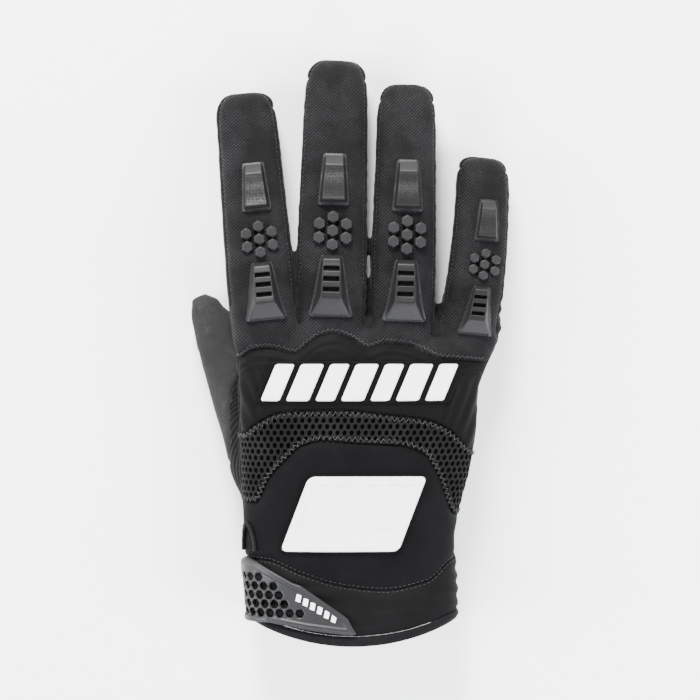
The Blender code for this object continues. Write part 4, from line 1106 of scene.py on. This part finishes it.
# along, base, face and height of a guard's sections, as the CAD has them
TIP_GUARD = np.array([(0, 0.72, 0.66, 0.20), (0.04, 0.74, 0.62, 0.24), (0.225, 0.80, 0.58, 0.88),
                      (0.895, 0.98, 0.74, 0.98), (0.955, 0.99, 0.80, 0.26), (1, 1, 0.88, 0.20)])
BASE_GUARD = np.array([(0, 0.52, 0.46, 0.20), (0.07, 0.56, 0.42, 0.72), (0.70, 0.84, 0.47, 1.0),
                       (0.97, 1.04, 0.86, 0.20), (1, 1.06, 0.90, 0.14)])
TIP_GUARD_SIZE = (21.5 * MM, 13.0 * MM, 4.2 * MM)
BASE_GUARD_SIZE = (25.0 * MM, 17.5 * MM, 4.8 * MM)
SLOT_SHARES, SLOT_LENGTH, SLOT_WIDTH, SLOT_DEPTH = (0.22, 0.39, 0.56), 6.6 * MM, 2.0 * MM, 1.3 * MM
GUARD_ROWS, GUARD_COLUMNS, GUARD_LIP = 105, 61, 0.85 * MM
STUD_PITCH, STUD_WIDTH, STUD_POINTS = 5.7 * MM, 5.3 * MM, 24
STUD_RING = ((0, 0), (0, 1), (0, -1), (0.95, 0.5), (0.95, -0.5), (-0.95, 0.5), (-0.95, -0.5))
# Millimetres from the fingertip to the tip guard, the studs' middle and the base guard, the shift across
# in millimetres, and the size as a share
GUARD_PLACES = {
    "index": (30.0, 62.0, 71.5, 1.2, 0.94), "middle": (39.5, 71.5, 81.5, 0.3, 1.0),
    "ring": (32.0, 63.2, 73.5, 1.0, 1.0), "little": (17.5, 44.5, 53.6, 2.4, 0.80),
}


def on_finger(digit, distance, across):
    """The place at a distance from the fingertip and a distance across."""
    along = (digit.length - distance) / digit.length
    bend = np.where(along > 0, 4 * along * (1 - along) * digit.bend * digit.length, 0)
    place = digit.root + np.multiply.outer(digit.length - distance, digit.ahead)
    place = place + np.multiply.outer(across + bend, digit.across)
    return place[..., 0], place[..., 1]


def make_guard(name, surface, digit, start, shift, size, sections, sizes, slots):
    length, width, tall = (size * part for part in sizes)
    down = np.linspace(0, 1, GUARD_ROWS)[:, None]
    across = np.linspace(-1, 1, GUARD_COLUMNS)[None]
    base, face, height = (np.interp(down, sections[:, 0], sections[:, i]) for i in (1, 2, 3))
    half, flat = base * width / 2, face * width / 2
    rounding = 1 - 0.12 * (np.clip(1 - down / 0.06, 0, 1) ** 2 + np.clip(1 - (1 - down) / 0.05, 0, 1) ** 2)
    a = across * half * rounding
    x, y = on_finger(digit, start + down * length, a + shift)
    ground = surface.meet(x, y)[0][..., 2]
    spine = GUARD_COLUMNS // 2
    middle = softened(np.repeat(ground[:, spine:spine + 1], GUARD_COLUMNS, axis=1), 8)
    climb = np.clip((half - np.abs(a) - 0.9 * MM) / np.maximum(half - flat - 0.9 * MM, 0.5 * MM), 0, 1)
    full = middle + np.maximum(height * tall, GUARD_LIP)
    rise = (ground + GUARD_LIP) * (1 - climb) + full * climb
    rise = softened(np.maximum(rise, ground + GUARD_LIP * 0.9), 2)
    for share in slots:
        near_slot = np.clip((SLOT_WIDTH * size / 2 - np.abs(down - share) * length) / (0.25 * MM), 0, 1)
        near_slot = near_slot * np.clip((SLOT_LENGTH * size / 2 - np.abs(a)) / (0.25 * MM), 0, 1)
        rise = rise - near_slot * SLOT_DEPTH
    points, faces = grid_slab(x, y, rise, ground - 0.5 * MM)
    mesh = plain_mesh(name, points, faces)
    mesh.materials.append(guard_rubber)
    # the slots' floors take the near-black rubber as painted shade; the tip guard's dotted top has painted
    # shade in its small hollows; special marks these faces
    mesh.materials.append(slot_shade_and_plate_rubber if slots else dotted_rubber)
    cell_down, cell_a = down[:-1] + 0.5 / (GUARD_ROWS - 1), (a[:-1, :-1] + a[1:, 1:]) / 2
    if slots:
        special = np.zeros(cell_a.shape, bool)
        for share in slots:
            within = np.abs(cell_down - share) * length < SLOT_WIDTH * size / 2
            special |= within & (np.abs(cell_a) < SLOT_LENGTH * size / 2)
    else:
        special = (np.abs(cell_a) < flat[:-1] - 0.5 * MM) & (cell_down > 0.25) & (cell_down < 0.87)
    kinds = np.zeros(len(faces), int)
    kinds[: special.size] = special.ravel()
    mesh.polygons.foreach_set("material_index", kinds)
    finished(name, mesh, guard_rubber, "moulded_rubber", name)


def stud_mesh():
    """A six-sided stud with softened edges, 1 across."""
    angle = np.linspace(0, math.tau, STUD_POINTS, endpoint=False)
    flat = np.abs((angle + math.pi / 6) % (math.pi / 3) - math.pi / 6)
    reach = 0.5 * (0.12 + 0.88 / np.cos(math.pi / 6 - flat) * math.cos(math.pi / 6))
    outline = np.stack([np.cos(angle), np.sin(angle)], 1) * reach[:, None]
    rings = []
    for height, share in ((-0.12, 1.02), (0.20, 1.0), (0.36, 0.95), (0.43, 0.84), (0.445, 0.70), (0.43, 0.3)):
        rings.append(np.column_stack([outline * share, np.full(STUD_POINTS, height)]))
    return lofted(np.array(rings), 0)


def make_studs(name, surface, digit, middle, shift, size):
    points, normals = [], []
    for across, along in STUD_RING:
        distance = np.array(middle - along * STUD_PITCH * size)
        x, y = on_finger(digit, distance, np.array(shift + across * STUD_PITCH * size))
        place, normal = surface.meet(x, y)
        points.append(place)
        normals.append(normal * 0.4 + np.array((0, 0, 0.6)))
    copied = linked("stud", outward(plain_mesh("stud", *stud_mesh())))
    source = points_mesh(name, points, up=normals, ahead=[digit.ahead] * len(points))
    mesh = COPIES.make(name, source, {"Copy": copied, "Size": STUD_WIDTH * size, "Material": stud_rubber})
    bpy.data.objects.remove(copied)
    finished(name, mesh, stud_rubber, "moulded_rubber", name)


def make_finger_armour(surface):
    for key in FINGERS:
        digit = DIGITS[key]
        tip, studs, base, shift, size = GUARD_PLACES[key]
        shift = shift * MM
        make_guard(f"{key}_tip_guard", surface, digit, tip * MM, shift, size, TIP_GUARD, TIP_GUARD_SIZE, ())
        make_guard(f"{key}_base_guard", surface, digit, base * MM, shift, size, BASE_GUARD, BASE_GUARD_SIZE,
                   SLOT_SHARES)
        make_studs(f"{key}_studs", surface, digit, studs * MM, shift, size)


def leaning_slab(surface, middle, width, height, lean, tall, radius, foot=-0.4 * MM, step=0.60 * MM,
                 relief=None):
    """A slanted slab with round corners and a softened upper edge, laid on the surface.
    relief gives what to add to its height, from the distance to its edge and the place across and up."""
    q = np.linspace(-1, 1, max(int(height / step), 8) + 1)[:, None]
    p = np.linspace(-1, 1, max(int(width / step), 8) + 1)[None]
    corner = np.clip(np.abs(q) * height / 2 - (height / 2 - radius), 0, radius)
    half = width / 2 - radius + np.sqrt(radius ** 2 - corner ** 2 * 0.999)
    x = middle[0] + p * half + lean * q * height / 2
    y = middle[1] + q * height / 2 + 0 * p
    ground = surface.meet(x, y)[0][..., 2]
    ground = np.where(np.isnan(ground), np.nanmin(ground), ground)
    even_ground = softened(ground, 12)
    edge = np.minimum(half - np.abs(p) * half, height / 2 - np.abs(q) * height / 2 + 0 * p)
    round_over = np.sqrt(1 - (1 - np.clip(edge / (0.5 * MM), 0, 1)) ** 2 * 0.8)
    top = even_ground + tall * round_over
    if relief:
        top = top + relief(edge, x - middle[0] - lean * (y - middle[1]), y - middle[1])
    return grid_slab(x, y, top, ground + foot)


def joined(parts):
    points, faces, first = [], [], 0
    for more, quads in parts:
        points.append(more)
        faces.append(quads + first)
        first += len(more)
    return np.vstack(points), np.vstack(faces)


BAND_BADGE = dict(side=0.05, along=0.822, width=1.55, height=0.115, lean=0.42, bars=7)
BACK_BADGE = dict(side=0.00, along=0.412, width=0.96, height=0.235, lean=0.38)


def make_badges(surface):
    band, back = BAND_BADGE, BACK_BADGE
    middle = np.array((band["side"] * HALF_WIDTH, band["along"] * HAND_LENGTH - ORIGIN_ALONG))
    width, height, lean = band["width"] * HALF_WIDTH, band["height"] * HAND_LENGTH, band["lean"]
    plate = leaning_slab(surface, middle, width + 2.6 * MM, height + 2.6 * MM, lean, 0.75 * MM, 1.8 * MM)
    finished("band_badge_plate", plain_mesh("band_badge_plate", *plate), slot_shade_and_plate_rubber, "moulded_rubber")
    pitch = width / band["bars"]
    bars = []
    for i in range(band["bars"]):
        place = middle + np.array(((i + 0.5) * pitch - width / 2, 0))
        bar = pitch * (0.84 if i % 2 else 0.70)
        bars.append(leaning_slab(surface, place, bar, height, lean, 1.6 * MM, 0.9 * MM, step=0.42 * MM))
    finished("band_badge", plain_mesh("band_badge", *joined(bars)), white_rubber, "white_rubber",
             "band_badge")

    middle = np.array((back["side"] * HALF_WIDTH, back["along"] * HAND_LENGTH - ORIGIN_ALONG))
    width, height, lean = back["width"] * HALF_WIDTH, back["height"] * HAND_LENGTH, back["lean"]
    plate = leaning_slab(surface, middle, width + 2.0 * MM, height + 2.0 * MM, lean, 0.7 * MM, 3.0 * MM)
    finished("back_badge_plate", plain_mesh("back_badge_plate", *plate), slot_shade_and_plate_rubber, "moulded_rubber")

    def panel_relief(edge, across, up):
        field = step_between(edge, 3.1 * MM, 3.5 * MM)
        lines = np.abs((across + 0.55 * up) / (6.2 * MM) % 1 - 0.5) * 6.2 * MM
        return -field * (0.32 * MM + 0.30 * MM * (1 - step_between(lines, 0.25 * MM, 0.55 * MM)))

    slab = leaning_slab(surface, middle, width, height, lean, 1.6 * MM, 2.6 * MM, step=0.35 * MM,
                        relief=panel_relief)
    finished("back_badge", plain_mesh("back_badge", *slab), white_rubber, "white_rubber", "back_badge")


# The strap and the patch that it fastens to, flat round the wrist and then wrapped

def arc_of_side(side, top):
    """The distance round the wrist of a place across it, on its back or its palm."""
    row = hand_row(np.array(WRIST_ALONG))
    u = np.clip(2 * (side - row["left"]) / (row["right"] - row["left"]) - 1, -1, 1)
    v = (1 - np.abs(u) ** HAND_ROUNDNESS) ** (1 / HAND_ROUNDNESS)
    angle = angle_at(u, v if top else -v)
    return float(np.interp(-angle, -WRIST_ANGLES, WRIST_DISTANCES))


def wrapped(distance, y, height):
    """Points at a distance round the wrist, a place along the glove and a height off its surface."""
    def place(s, yy):
        u, v = rounded(np.interp(s, WRIST_DISTANCES, WRIST_ANGLES), HAND_ROUNDNESS)
        along = (yy + ORIGIN_ALONG) / HAND_LENGTH
        actual = along
        for _ in range(4):
            along = actual - hand_row(along)["bow"] * u * u
        return hand_place(along, u, v)
    step = 0.3 * MM
    round_step = place(distance + step, y) - place(distance - step, y)
    along_step = place(distance, y + step) - place(distance, y - step)
    normal = np.cross(round_step, along_step)
    normal /= np.linalg.norm(normal, axis=-1, keepdims=True)
    return place(distance, y) + normal * np.asarray(height)[..., None]


WRIST_ALONG = 0.12
WRIST_ANGLES, WRIST_DISTANCES = arc_table(WRIST_ALONG)


def flat_sheet(low, high, step):
    xs = np.arange(low[0], high[0] + step, step)
    ys = np.arange(low[1], high[1] + step, step)
    x, y = np.meshgrid(xs, ys, indexing="ij")
    index = np.arange(x.size).reshape(x.shape)
    a, b = index[:-1, :-1].ravel(), index[1:, :-1].ravel()
    c, d = index[1:, 1:].ravel(), index[:-1, 1:].ravel()
    return np.stack([x.ravel(), y.ravel()], 1), np.vstack([np.stack([a, b, c], 1), np.stack([a, c, d], 1)])


def cut_sheet(outline, field, step):
    """A flat mesh of the places inside an outline where field is above 0, split along its edge."""
    low, high = outline.min(axis=0) - step, outline.max(axis=0) + step
    points, faces = flat_sheet(low, high, step)
    values = np.minimum(inside_outline(points, outline), field(points))
    points, inside, _, _, _ = split(points, faces, values)
    used, back = np.unique(inside, return_inverse=True)
    return points[used], back.reshape(inside.shape)


def closed_sheet(flat, faces, top, bottom, place):
    """A closed shell over a flat mesh, between two heights, put in its place."""
    count = len(flat)
    points = np.vstack([place(flat[:, 0], flat[:, 1], top), place(flat[:, 0], flat[:, 1], bottom)])
    edges = edges_of(faces)
    order = np.sort(edges, axis=1)
    _, first, seen = np.unique(order, axis=0, return_index=True, return_counts=True)
    rim = edges[first[seen == 1]]
    walls = [(b, a, a + count, b + count) for a, b in rim.tolist()]
    rows = faces.tolist() + (faces[:, ::-1] + count).tolist() + walls
    return points, rows


STRAP_BACK = [(-0.916, 0.257), (-0.838, 0.275), (-0.758, 0.258), (-0.476, 0.196), (-0.418, 0.189),
              (-0.056, 0.089),
              (0.012, 0.040), (-0.028, 0.035), (-0.384, 0.052), (-0.690, 0.074)]
STRAP_PALM = [(-0.816, 0.074), (-0.49, 0.042), (-0.426, 0.052), (-0.60, 0.136), (-0.84, 0.182)]
LOOP_PATCH = [(-0.62, 0.247), (-0.224, 0.247), (-0.028, 0.158), (-0.05, 0.136), (-0.426, 0.095),
              (-0.62, 0.092)]
STRAP_TOP, STRAP_RIM, STRAP_RIM_WIDTH = 1.65 * MM, 0.55 * MM, 2.4 * MM
HOLE_PITCH, HOLE_WIDTH = 4.1 * MM, 3.2 * MM
# The holes in the first row, and how many each row loses
HOLE_ROWS, HOLE_COLUMNS, HOLE_REACH, HOLE_LOSS = 5, 10, 7.4, 0.95
GROOVE_END = -0.052
BAR_COUNT, BAR_STEP = 6, (2.75 * MM, -1.62 * MM)


def round_wrist(places, top):
    """Places on the back or the palm as distances round the wrist and along the glove."""
    return [(arc_of_side(side, top), along * HAND_LENGTH - ORIGIN_ALONG) for side, along in places]


def strap_outline():
    return np.array(round_wrist(STRAP_BACK, True) + round_wrist(STRAP_PALM, False))


def hexagon_field(points, middle, width):
    offset = points - middle
    reach = np.zeros(len(points))
    for turn in (math.pi / 6, math.pi / 2, 5 * math.pi / 6):
        reach = np.maximum(reach, np.abs(offset @ np.array((math.cos(turn), math.sin(turn)))))
    return 0.75 * (reach - width / 2) + 0.25 * (np.hypot(*offset.T) - width * 0.54)


def make_strap():
    outline = strap_outline()
    left = arc_of_side(-0.80, True)
    first = np.array((left - 9.3 * MM, 0.098 * HAND_LENGTH - ORIGIN_ALONG + 0.6 * MM))
    holes = []
    for row in range(HOLE_ROWS):
        reach = HOLE_REACH - row * HOLE_LOSS
        for i in range(HOLE_COLUMNS):
            middle = first + np.array(((i + row % 2 / 2) * HOLE_PITCH, row * HOLE_PITCH * 0.87))
            room = inside_outline(middle[None], outline)[0]
            if i + row % 2 / 2 < reach and room > STRAP_RIM_WIDTH + 0.7 * MM:
                holes.append(middle)

    def clear(points):
        least = np.full(len(points), 1.0)
        for middle in holes:
            least = np.minimum(least, hexagon_field(points, middle, HOLE_WIDTH))
        return least

    flat, faces = cut_sheet(outline, clear, 0.33 * MM)
    edge, hole = inside_outline(flat, outline), clear(flat)
    rim = 1 - step_between(edge, STRAP_RIM_WIDTH - 0.4 * MM, STRAP_RIM_WIDTH + 0.4 * MM)
    top = STRAP_TOP + STRAP_RIM * rim - 0.5 * MM * (1 - np.clip(edge / (0.6 * MM), 0, 1)) ** 2
    top -= 0.35 * MM * (1 - np.clip(hole / (0.4 * MM), 0, 1)) ** 2
    grooved = (flat[:, 1] < GROOVE_END) & (flat[:, 0] > left + 6 * MM)
    top -= 0.35 * MM * np.exp(-((edge - 1.3 * MM) / (0.22 * MM)) ** 2) * grooved
    points, rows = closed_sheet(flat, faces, top, np.full(len(flat), 0.30 * MM), wrapped)
    mesh = bpy.data.meshes.new("wrist_strap")
    mesh.from_pydata(points.tolist(), [], rows)
    finished("wrist_strap", mesh, strap_rubber, "moulded_rubber", "wrist_strap")

    start = np.array((arc_of_side(-0.44, True), 0.150 * HAND_LENGTH - ORIGIN_ALONG))
    bars = []
    for i in range(BAR_COUNT):
        middle = start + i * np.array(BAR_STEP)
        corners = np.array([(-1.25, -1.15), (0.55, -1.75), (1.25, 1.05), (-0.55, 1.65)]) * MM + middle
        bar, faces = cut_sheet(corners, lambda p: np.full(len(p), 1.0), 0.22 * MM)
        heights = [np.full(len(bar), STRAP_TOP + rise) for rise in (0.25 * MM, -0.4 * MM)]
        bars.append(closed_sheet(bar, faces, *heights, wrapped))
    points, rows, count = [], [], 0
    for more, faces in bars:
        points += more.tolist()
        rows += [tuple(index + count for index in face) for face in faces]
        count = len(points)
    mesh = bpy.data.meshes.new("strap_bars")
    mesh.from_pydata(points, [], rows)
    finished("strap_bars", mesh, silicone, "white_rubber")


def make_loop_patch():
    outline = np.array(round_wrist(LOOP_PATCH, False))
    strap = strap_outline()
    flat, faces = cut_sheet(outline, lambda p: -inside_outline(p, strap) - 0.3 * MM, 0.5 * MM)
    edge = inside_outline(flat, outline)
    top = 0.55 * MM + 0.6 * MM * np.clip(edge / (0.7 * MM), 0, 1) ** 0.5
    points, rows = closed_sheet(flat, faces, top, np.full(len(flat), 0.1 * MM), wrapped)
    mesh = bpy.data.meshes.new("loop_patch")
    mesh.from_pydata(points.tolist(), [], rows)
    finished("loop_patch", mesh, loop_cloth, "loop_cloth", "loop_patch")


TAPE_ROUNDNESS = 2 / 0.6


def make_pull_loop():
    """A bent tape that stands out from under the strap at the thumb's side."""
    turn = np.linspace(0, math.pi, 60)
    along = 0.290 + 0.085 * np.sin(turn)
    angle = np.radians(146 + 22 * (1 - np.cos(turn)) / 2)
    u, v = rounded(angle, HAND_ROUNDNESS)
    spine = hand_place(along, u, v)
    inner = hand_place(along, u * 0.9, v * 0.9)
    out = spine - inner
    out /= np.linalg.norm(out, axis=1, keepdims=True)
    ahead = np.gradient(spine, axis=0)
    ahead /= np.linalg.norm(ahead, axis=1, keepdims=True)
    across = np.cross(ahead, out)
    wide, deep = rounded(np.linspace(0, math.tau, 16, endpoint=False), TAPE_ROUNDNESS)
    centre = spine + out * 1.6 * MM
    rings = centre[:, None] + across[:, None] * (wide * 1.5 * MM)[None, :, None]
    rings = rings + out[:, None] * (deep * 0.6 * MM)[None, :, None]
    finished("pull_loop", plain_mesh("pull_loop", *lofted(rings, 0)), loop_tape, "binding", "pull_loop")


# The open mesh of the arch

NET_ACROSS, NET_ALONG = 2.75 * MM, 2.55 * MM
NET_ROWS, NET_COLUMNS = range(-30, 60), range(-26, 27)


def net_cell():
    """A cell of the mesh: a six-sided ring of strand round an oval hole."""
    angle = np.linspace(0, math.tau, 18, endpoint=False) + math.pi / 18
    flat = np.abs(angle % (math.pi / 3) - math.pi / 6)
    reach = 1 / np.cos(math.pi / 6 - flat)
    outer = np.stack([np.cos(angle) * reach * NET_ACROSS / 2, np.sin(angle) * reach * NET_ALONG / 1.74], 1)
    hole = np.stack([np.cos(angle) * 0.86 * MM, np.sin(angle) * 1.12 * MM], 1)
    rings = []
    for share, height in ((1.0, 0.42), (0.62, 0.46), (0.30, 0.36), (0.0, 0.08), (-0.12, -0.45)):
        flat_ring = hole + (outer - hole) * share
        rings.append(np.column_stack([flat_ring, np.full(len(angle), height * MM)]))
    points = np.vstack(rings)
    return plain_mesh("net_cell", points, grid_faces(len(rings), len(angle), 0))


def make_net():
    backing = Surface("air_mesh_panel")
    cells = []
    for row in NET_ROWS:
        y = row * NET_ALONG
        for column in NET_COLUMNS:
            cells.append(((column + (row % 2) / 2) * NET_ACROSS, y, 0))
    cells = np.array(cells)
    spot = net_place(cells)
    inside = net_inside(spot) > -0.6 * MM
    cells = cells[inside]
    copied = linked("net_cell", net_cell())
    up, ahead = np.tile((0, 0, 1.0), (len(cells), 1)), np.tile((1.0, 0, 0), (len(cells), 1))
    source = points_mesh("mesh_net", cells, up=up, ahead=ahead)
    mesh = COPIES.make("mesh_net", source, {"Copy": copied, "Size": 1.0, "Material": mesh_strands})
    bpy.data.objects.remove(copied)
    shape = bmesh.new()
    shape.from_mesh(mesh)
    bmesh.ops.remove_doubles(shape, verts=shape.verts, dist=0.12 * MM)
    shape.to_mesh(mesh)
    shape.free()
    flat = np.empty(len(mesh.vertices) * 3)
    mesh.vertices.foreach_get("co", flat)
    flat = flat.reshape(-1, 3)
    spot = net_place(flat)
    depth = net_inside(spot)
    places, normals = backing.near(spot)
    lift = 0.50 * MM + flat[:, 2] - 1.3 * MM * (1 - step_between(depth, -0.4 * MM, 0.9 * MM))
    moved = places + normals * lift[:, None]
    mesh.vertices.foreach_set("co", moved.ravel())
    mesh.shade_smooth()
    ride(linked("mesh_net", mesh), "air_mesh")


def net_place(flat):
    """Where flat places on the arch lie on the hand's back."""
    u, v = rounded(np.interp(flat[:, 0], ARC_DISTANCES, ARC_ANGLES), HAND_ROUNDNESS)
    along = (flat[:, 1] + ORIGIN_ALONG) / HAND_LENGTH
    return hand_place(along, u, v)


def net_inside(p):
    return np.minimum(np.minimum(roof(p), -above_mesh(p)), above_pad(p))


# The grip on two fingertips

GRIP_ACROSS, GRIP_ALONG, GRIP_SLOPE, GRIP_LENGTH = 6.1 * MM, 3.75 * MM, 0.2, 4.0 * MM


def grip_dot():
    """A flat oval dot, 1 long."""
    angle = np.linspace(0, math.tau, 14, endpoint=False)
    rings = [np.stack([np.cos(angle) * share * 0.5, np.sin(angle) * share * 0.30, np.full(14, height)], 1)
             for height, share in ((-0.05, 1.0), (0.06, 1.0), (0.10, 0.86), (0.115, 0.5))]
    return lofted(np.array(rings), 0)


def make_grip(surface):
    points, normals, aheads = [], [], []
    for key, reach in (("index", 46 * MM), ("middle", 62 * MM)):
        digit = DIGITS[key]
        for row in range(30):
            for column in range(-4, 5):
                across = (column + (row % 2) / 2) * GRIP_ACROSS
                distance = 4.0 * MM + row * GRIP_ALONG + GRIP_SLOPE * across
                if not 2.5 * MM < distance < reach:
                    continue
                half = digit.row(np.array((digit.length - distance) / digit.length))[0]
                if abs(across) > half * 0.86:
                    continue
                x, y = on_finger(digit, np.array(distance), np.array(across))
                place, normal = surface.meet(x, y, above=False)
                if np.isnan(place[0]) or normal[2] > -0.35:
                    continue
                points.append(place)
                normals.append(normal)
                aheads.append(digit.across - digit.ahead * (0.30 + 10 * across))
    copied = linked("grip_dot", outward(plain_mesh("grip_dot", *grip_dot())))
    source = points_mesh("fingertip_grip", points, up=normals, ahead=aheads)
    mesh = COPIES.make("fingertip_grip", source, {"Copy": copied, "Size": GRIP_LENGTH, "Material": silicone})
    bpy.data.objects.remove(copied)
    finished("fingertip_grip", mesh, silicone, "white_rubber")


# Floor, lights and camera

FLOOR_HEIGHT = -1.8 * MM
FLOOR_CORNERS = ((-3, -3), (3, -3), (3, 3), (-3, 3))
VIEW_MIDDLE, CAMERA_HEIGHT, CAMERA_LENS = (-1.5 * MM, 54.0 * MM), 0.90, 110
WORLD_COLOUR, WORLD_STRENGTH = (0.97, 0.98, 1, 1), 0.75
LIGHTS_AIM = (0, 0.05, 0)
# name, place, width, power and colour of each round light
LIGHTS = [
    ("key", (-0.20, 1.15, 0.72), 0.50, 88, (1.0, 0.985, 0.96)),
    ("fill", (0.85, -0.25, 0.65), 0.6, 34, (0.95, 0.97, 1.0)),
    ("side", (-0.95, -0.15, 0.60), 0.6, 34, (0.96, 0.98, 1.0)),
    ("low", (0.15, -1.05, 0.60), 0.6, 26, (0.97, 0.98, 1.0)),
]


def make_studio():
    corners = [(x, y, FLOOR_HEIGHT) for x, y in FLOOR_CORNERS]
    floor = linked("floor", plain_mesh("floor", corners, [(0, 1, 2, 3)]))
    paint = finish("pale_floor", (0.88, 0.88, 0.88), (0.90, 0.90, 0.90), 0.75, grain=0.01, grain_size=2.0,
                   follows_cloth=False)
    floor.data.materials.append(paint)
    world = bpy.data.worlds.new("studio")
    world.use_nodes = True
    background = world.node_tree.nodes["Background"]
    background.inputs["Color"].default_value = WORLD_COLOUR
    background.inputs["Strength"].default_value = WORLD_STRENGTH
    bpy.context.scene.world = world
    for name, place, size, power, colour in LIGHTS:
        lamp = bpy.data.lights.new(name, "AREA")
        lamp.shape, lamp.size, lamp.energy, lamp.color = "DISK", size, power, colour
        drawn = bpy.data.objects.new(name, lamp)
        drawn.location = place
        aim = Vector(LIGHTS_AIM) - Vector(place)
        drawn.rotation_euler = aim.to_track_quat("-Z", "Y").to_euler()
        bpy.context.scene.collection.objects.link(drawn)
    camera = bpy.data.cameras.new("camera")
    camera.lens = CAMERA_LENS
    drawn = bpy.data.objects.new("camera", camera)
    drawn.location = (*VIEW_MIDDLE, CAMERA_HEIGHT)
    bpy.context.scene.collection.objects.link(drawn)
    bpy.context.scene.camera = drawn


make_panels()
skin_surface = Surface()
make_net()
make_stitches(skin_surface)
make_finger_armour(skin_surface)
make_badges(skin_surface)
make_strap()
make_loop_patch()
make_pull_loop()
make_grip(skin_surface)
make_studio()
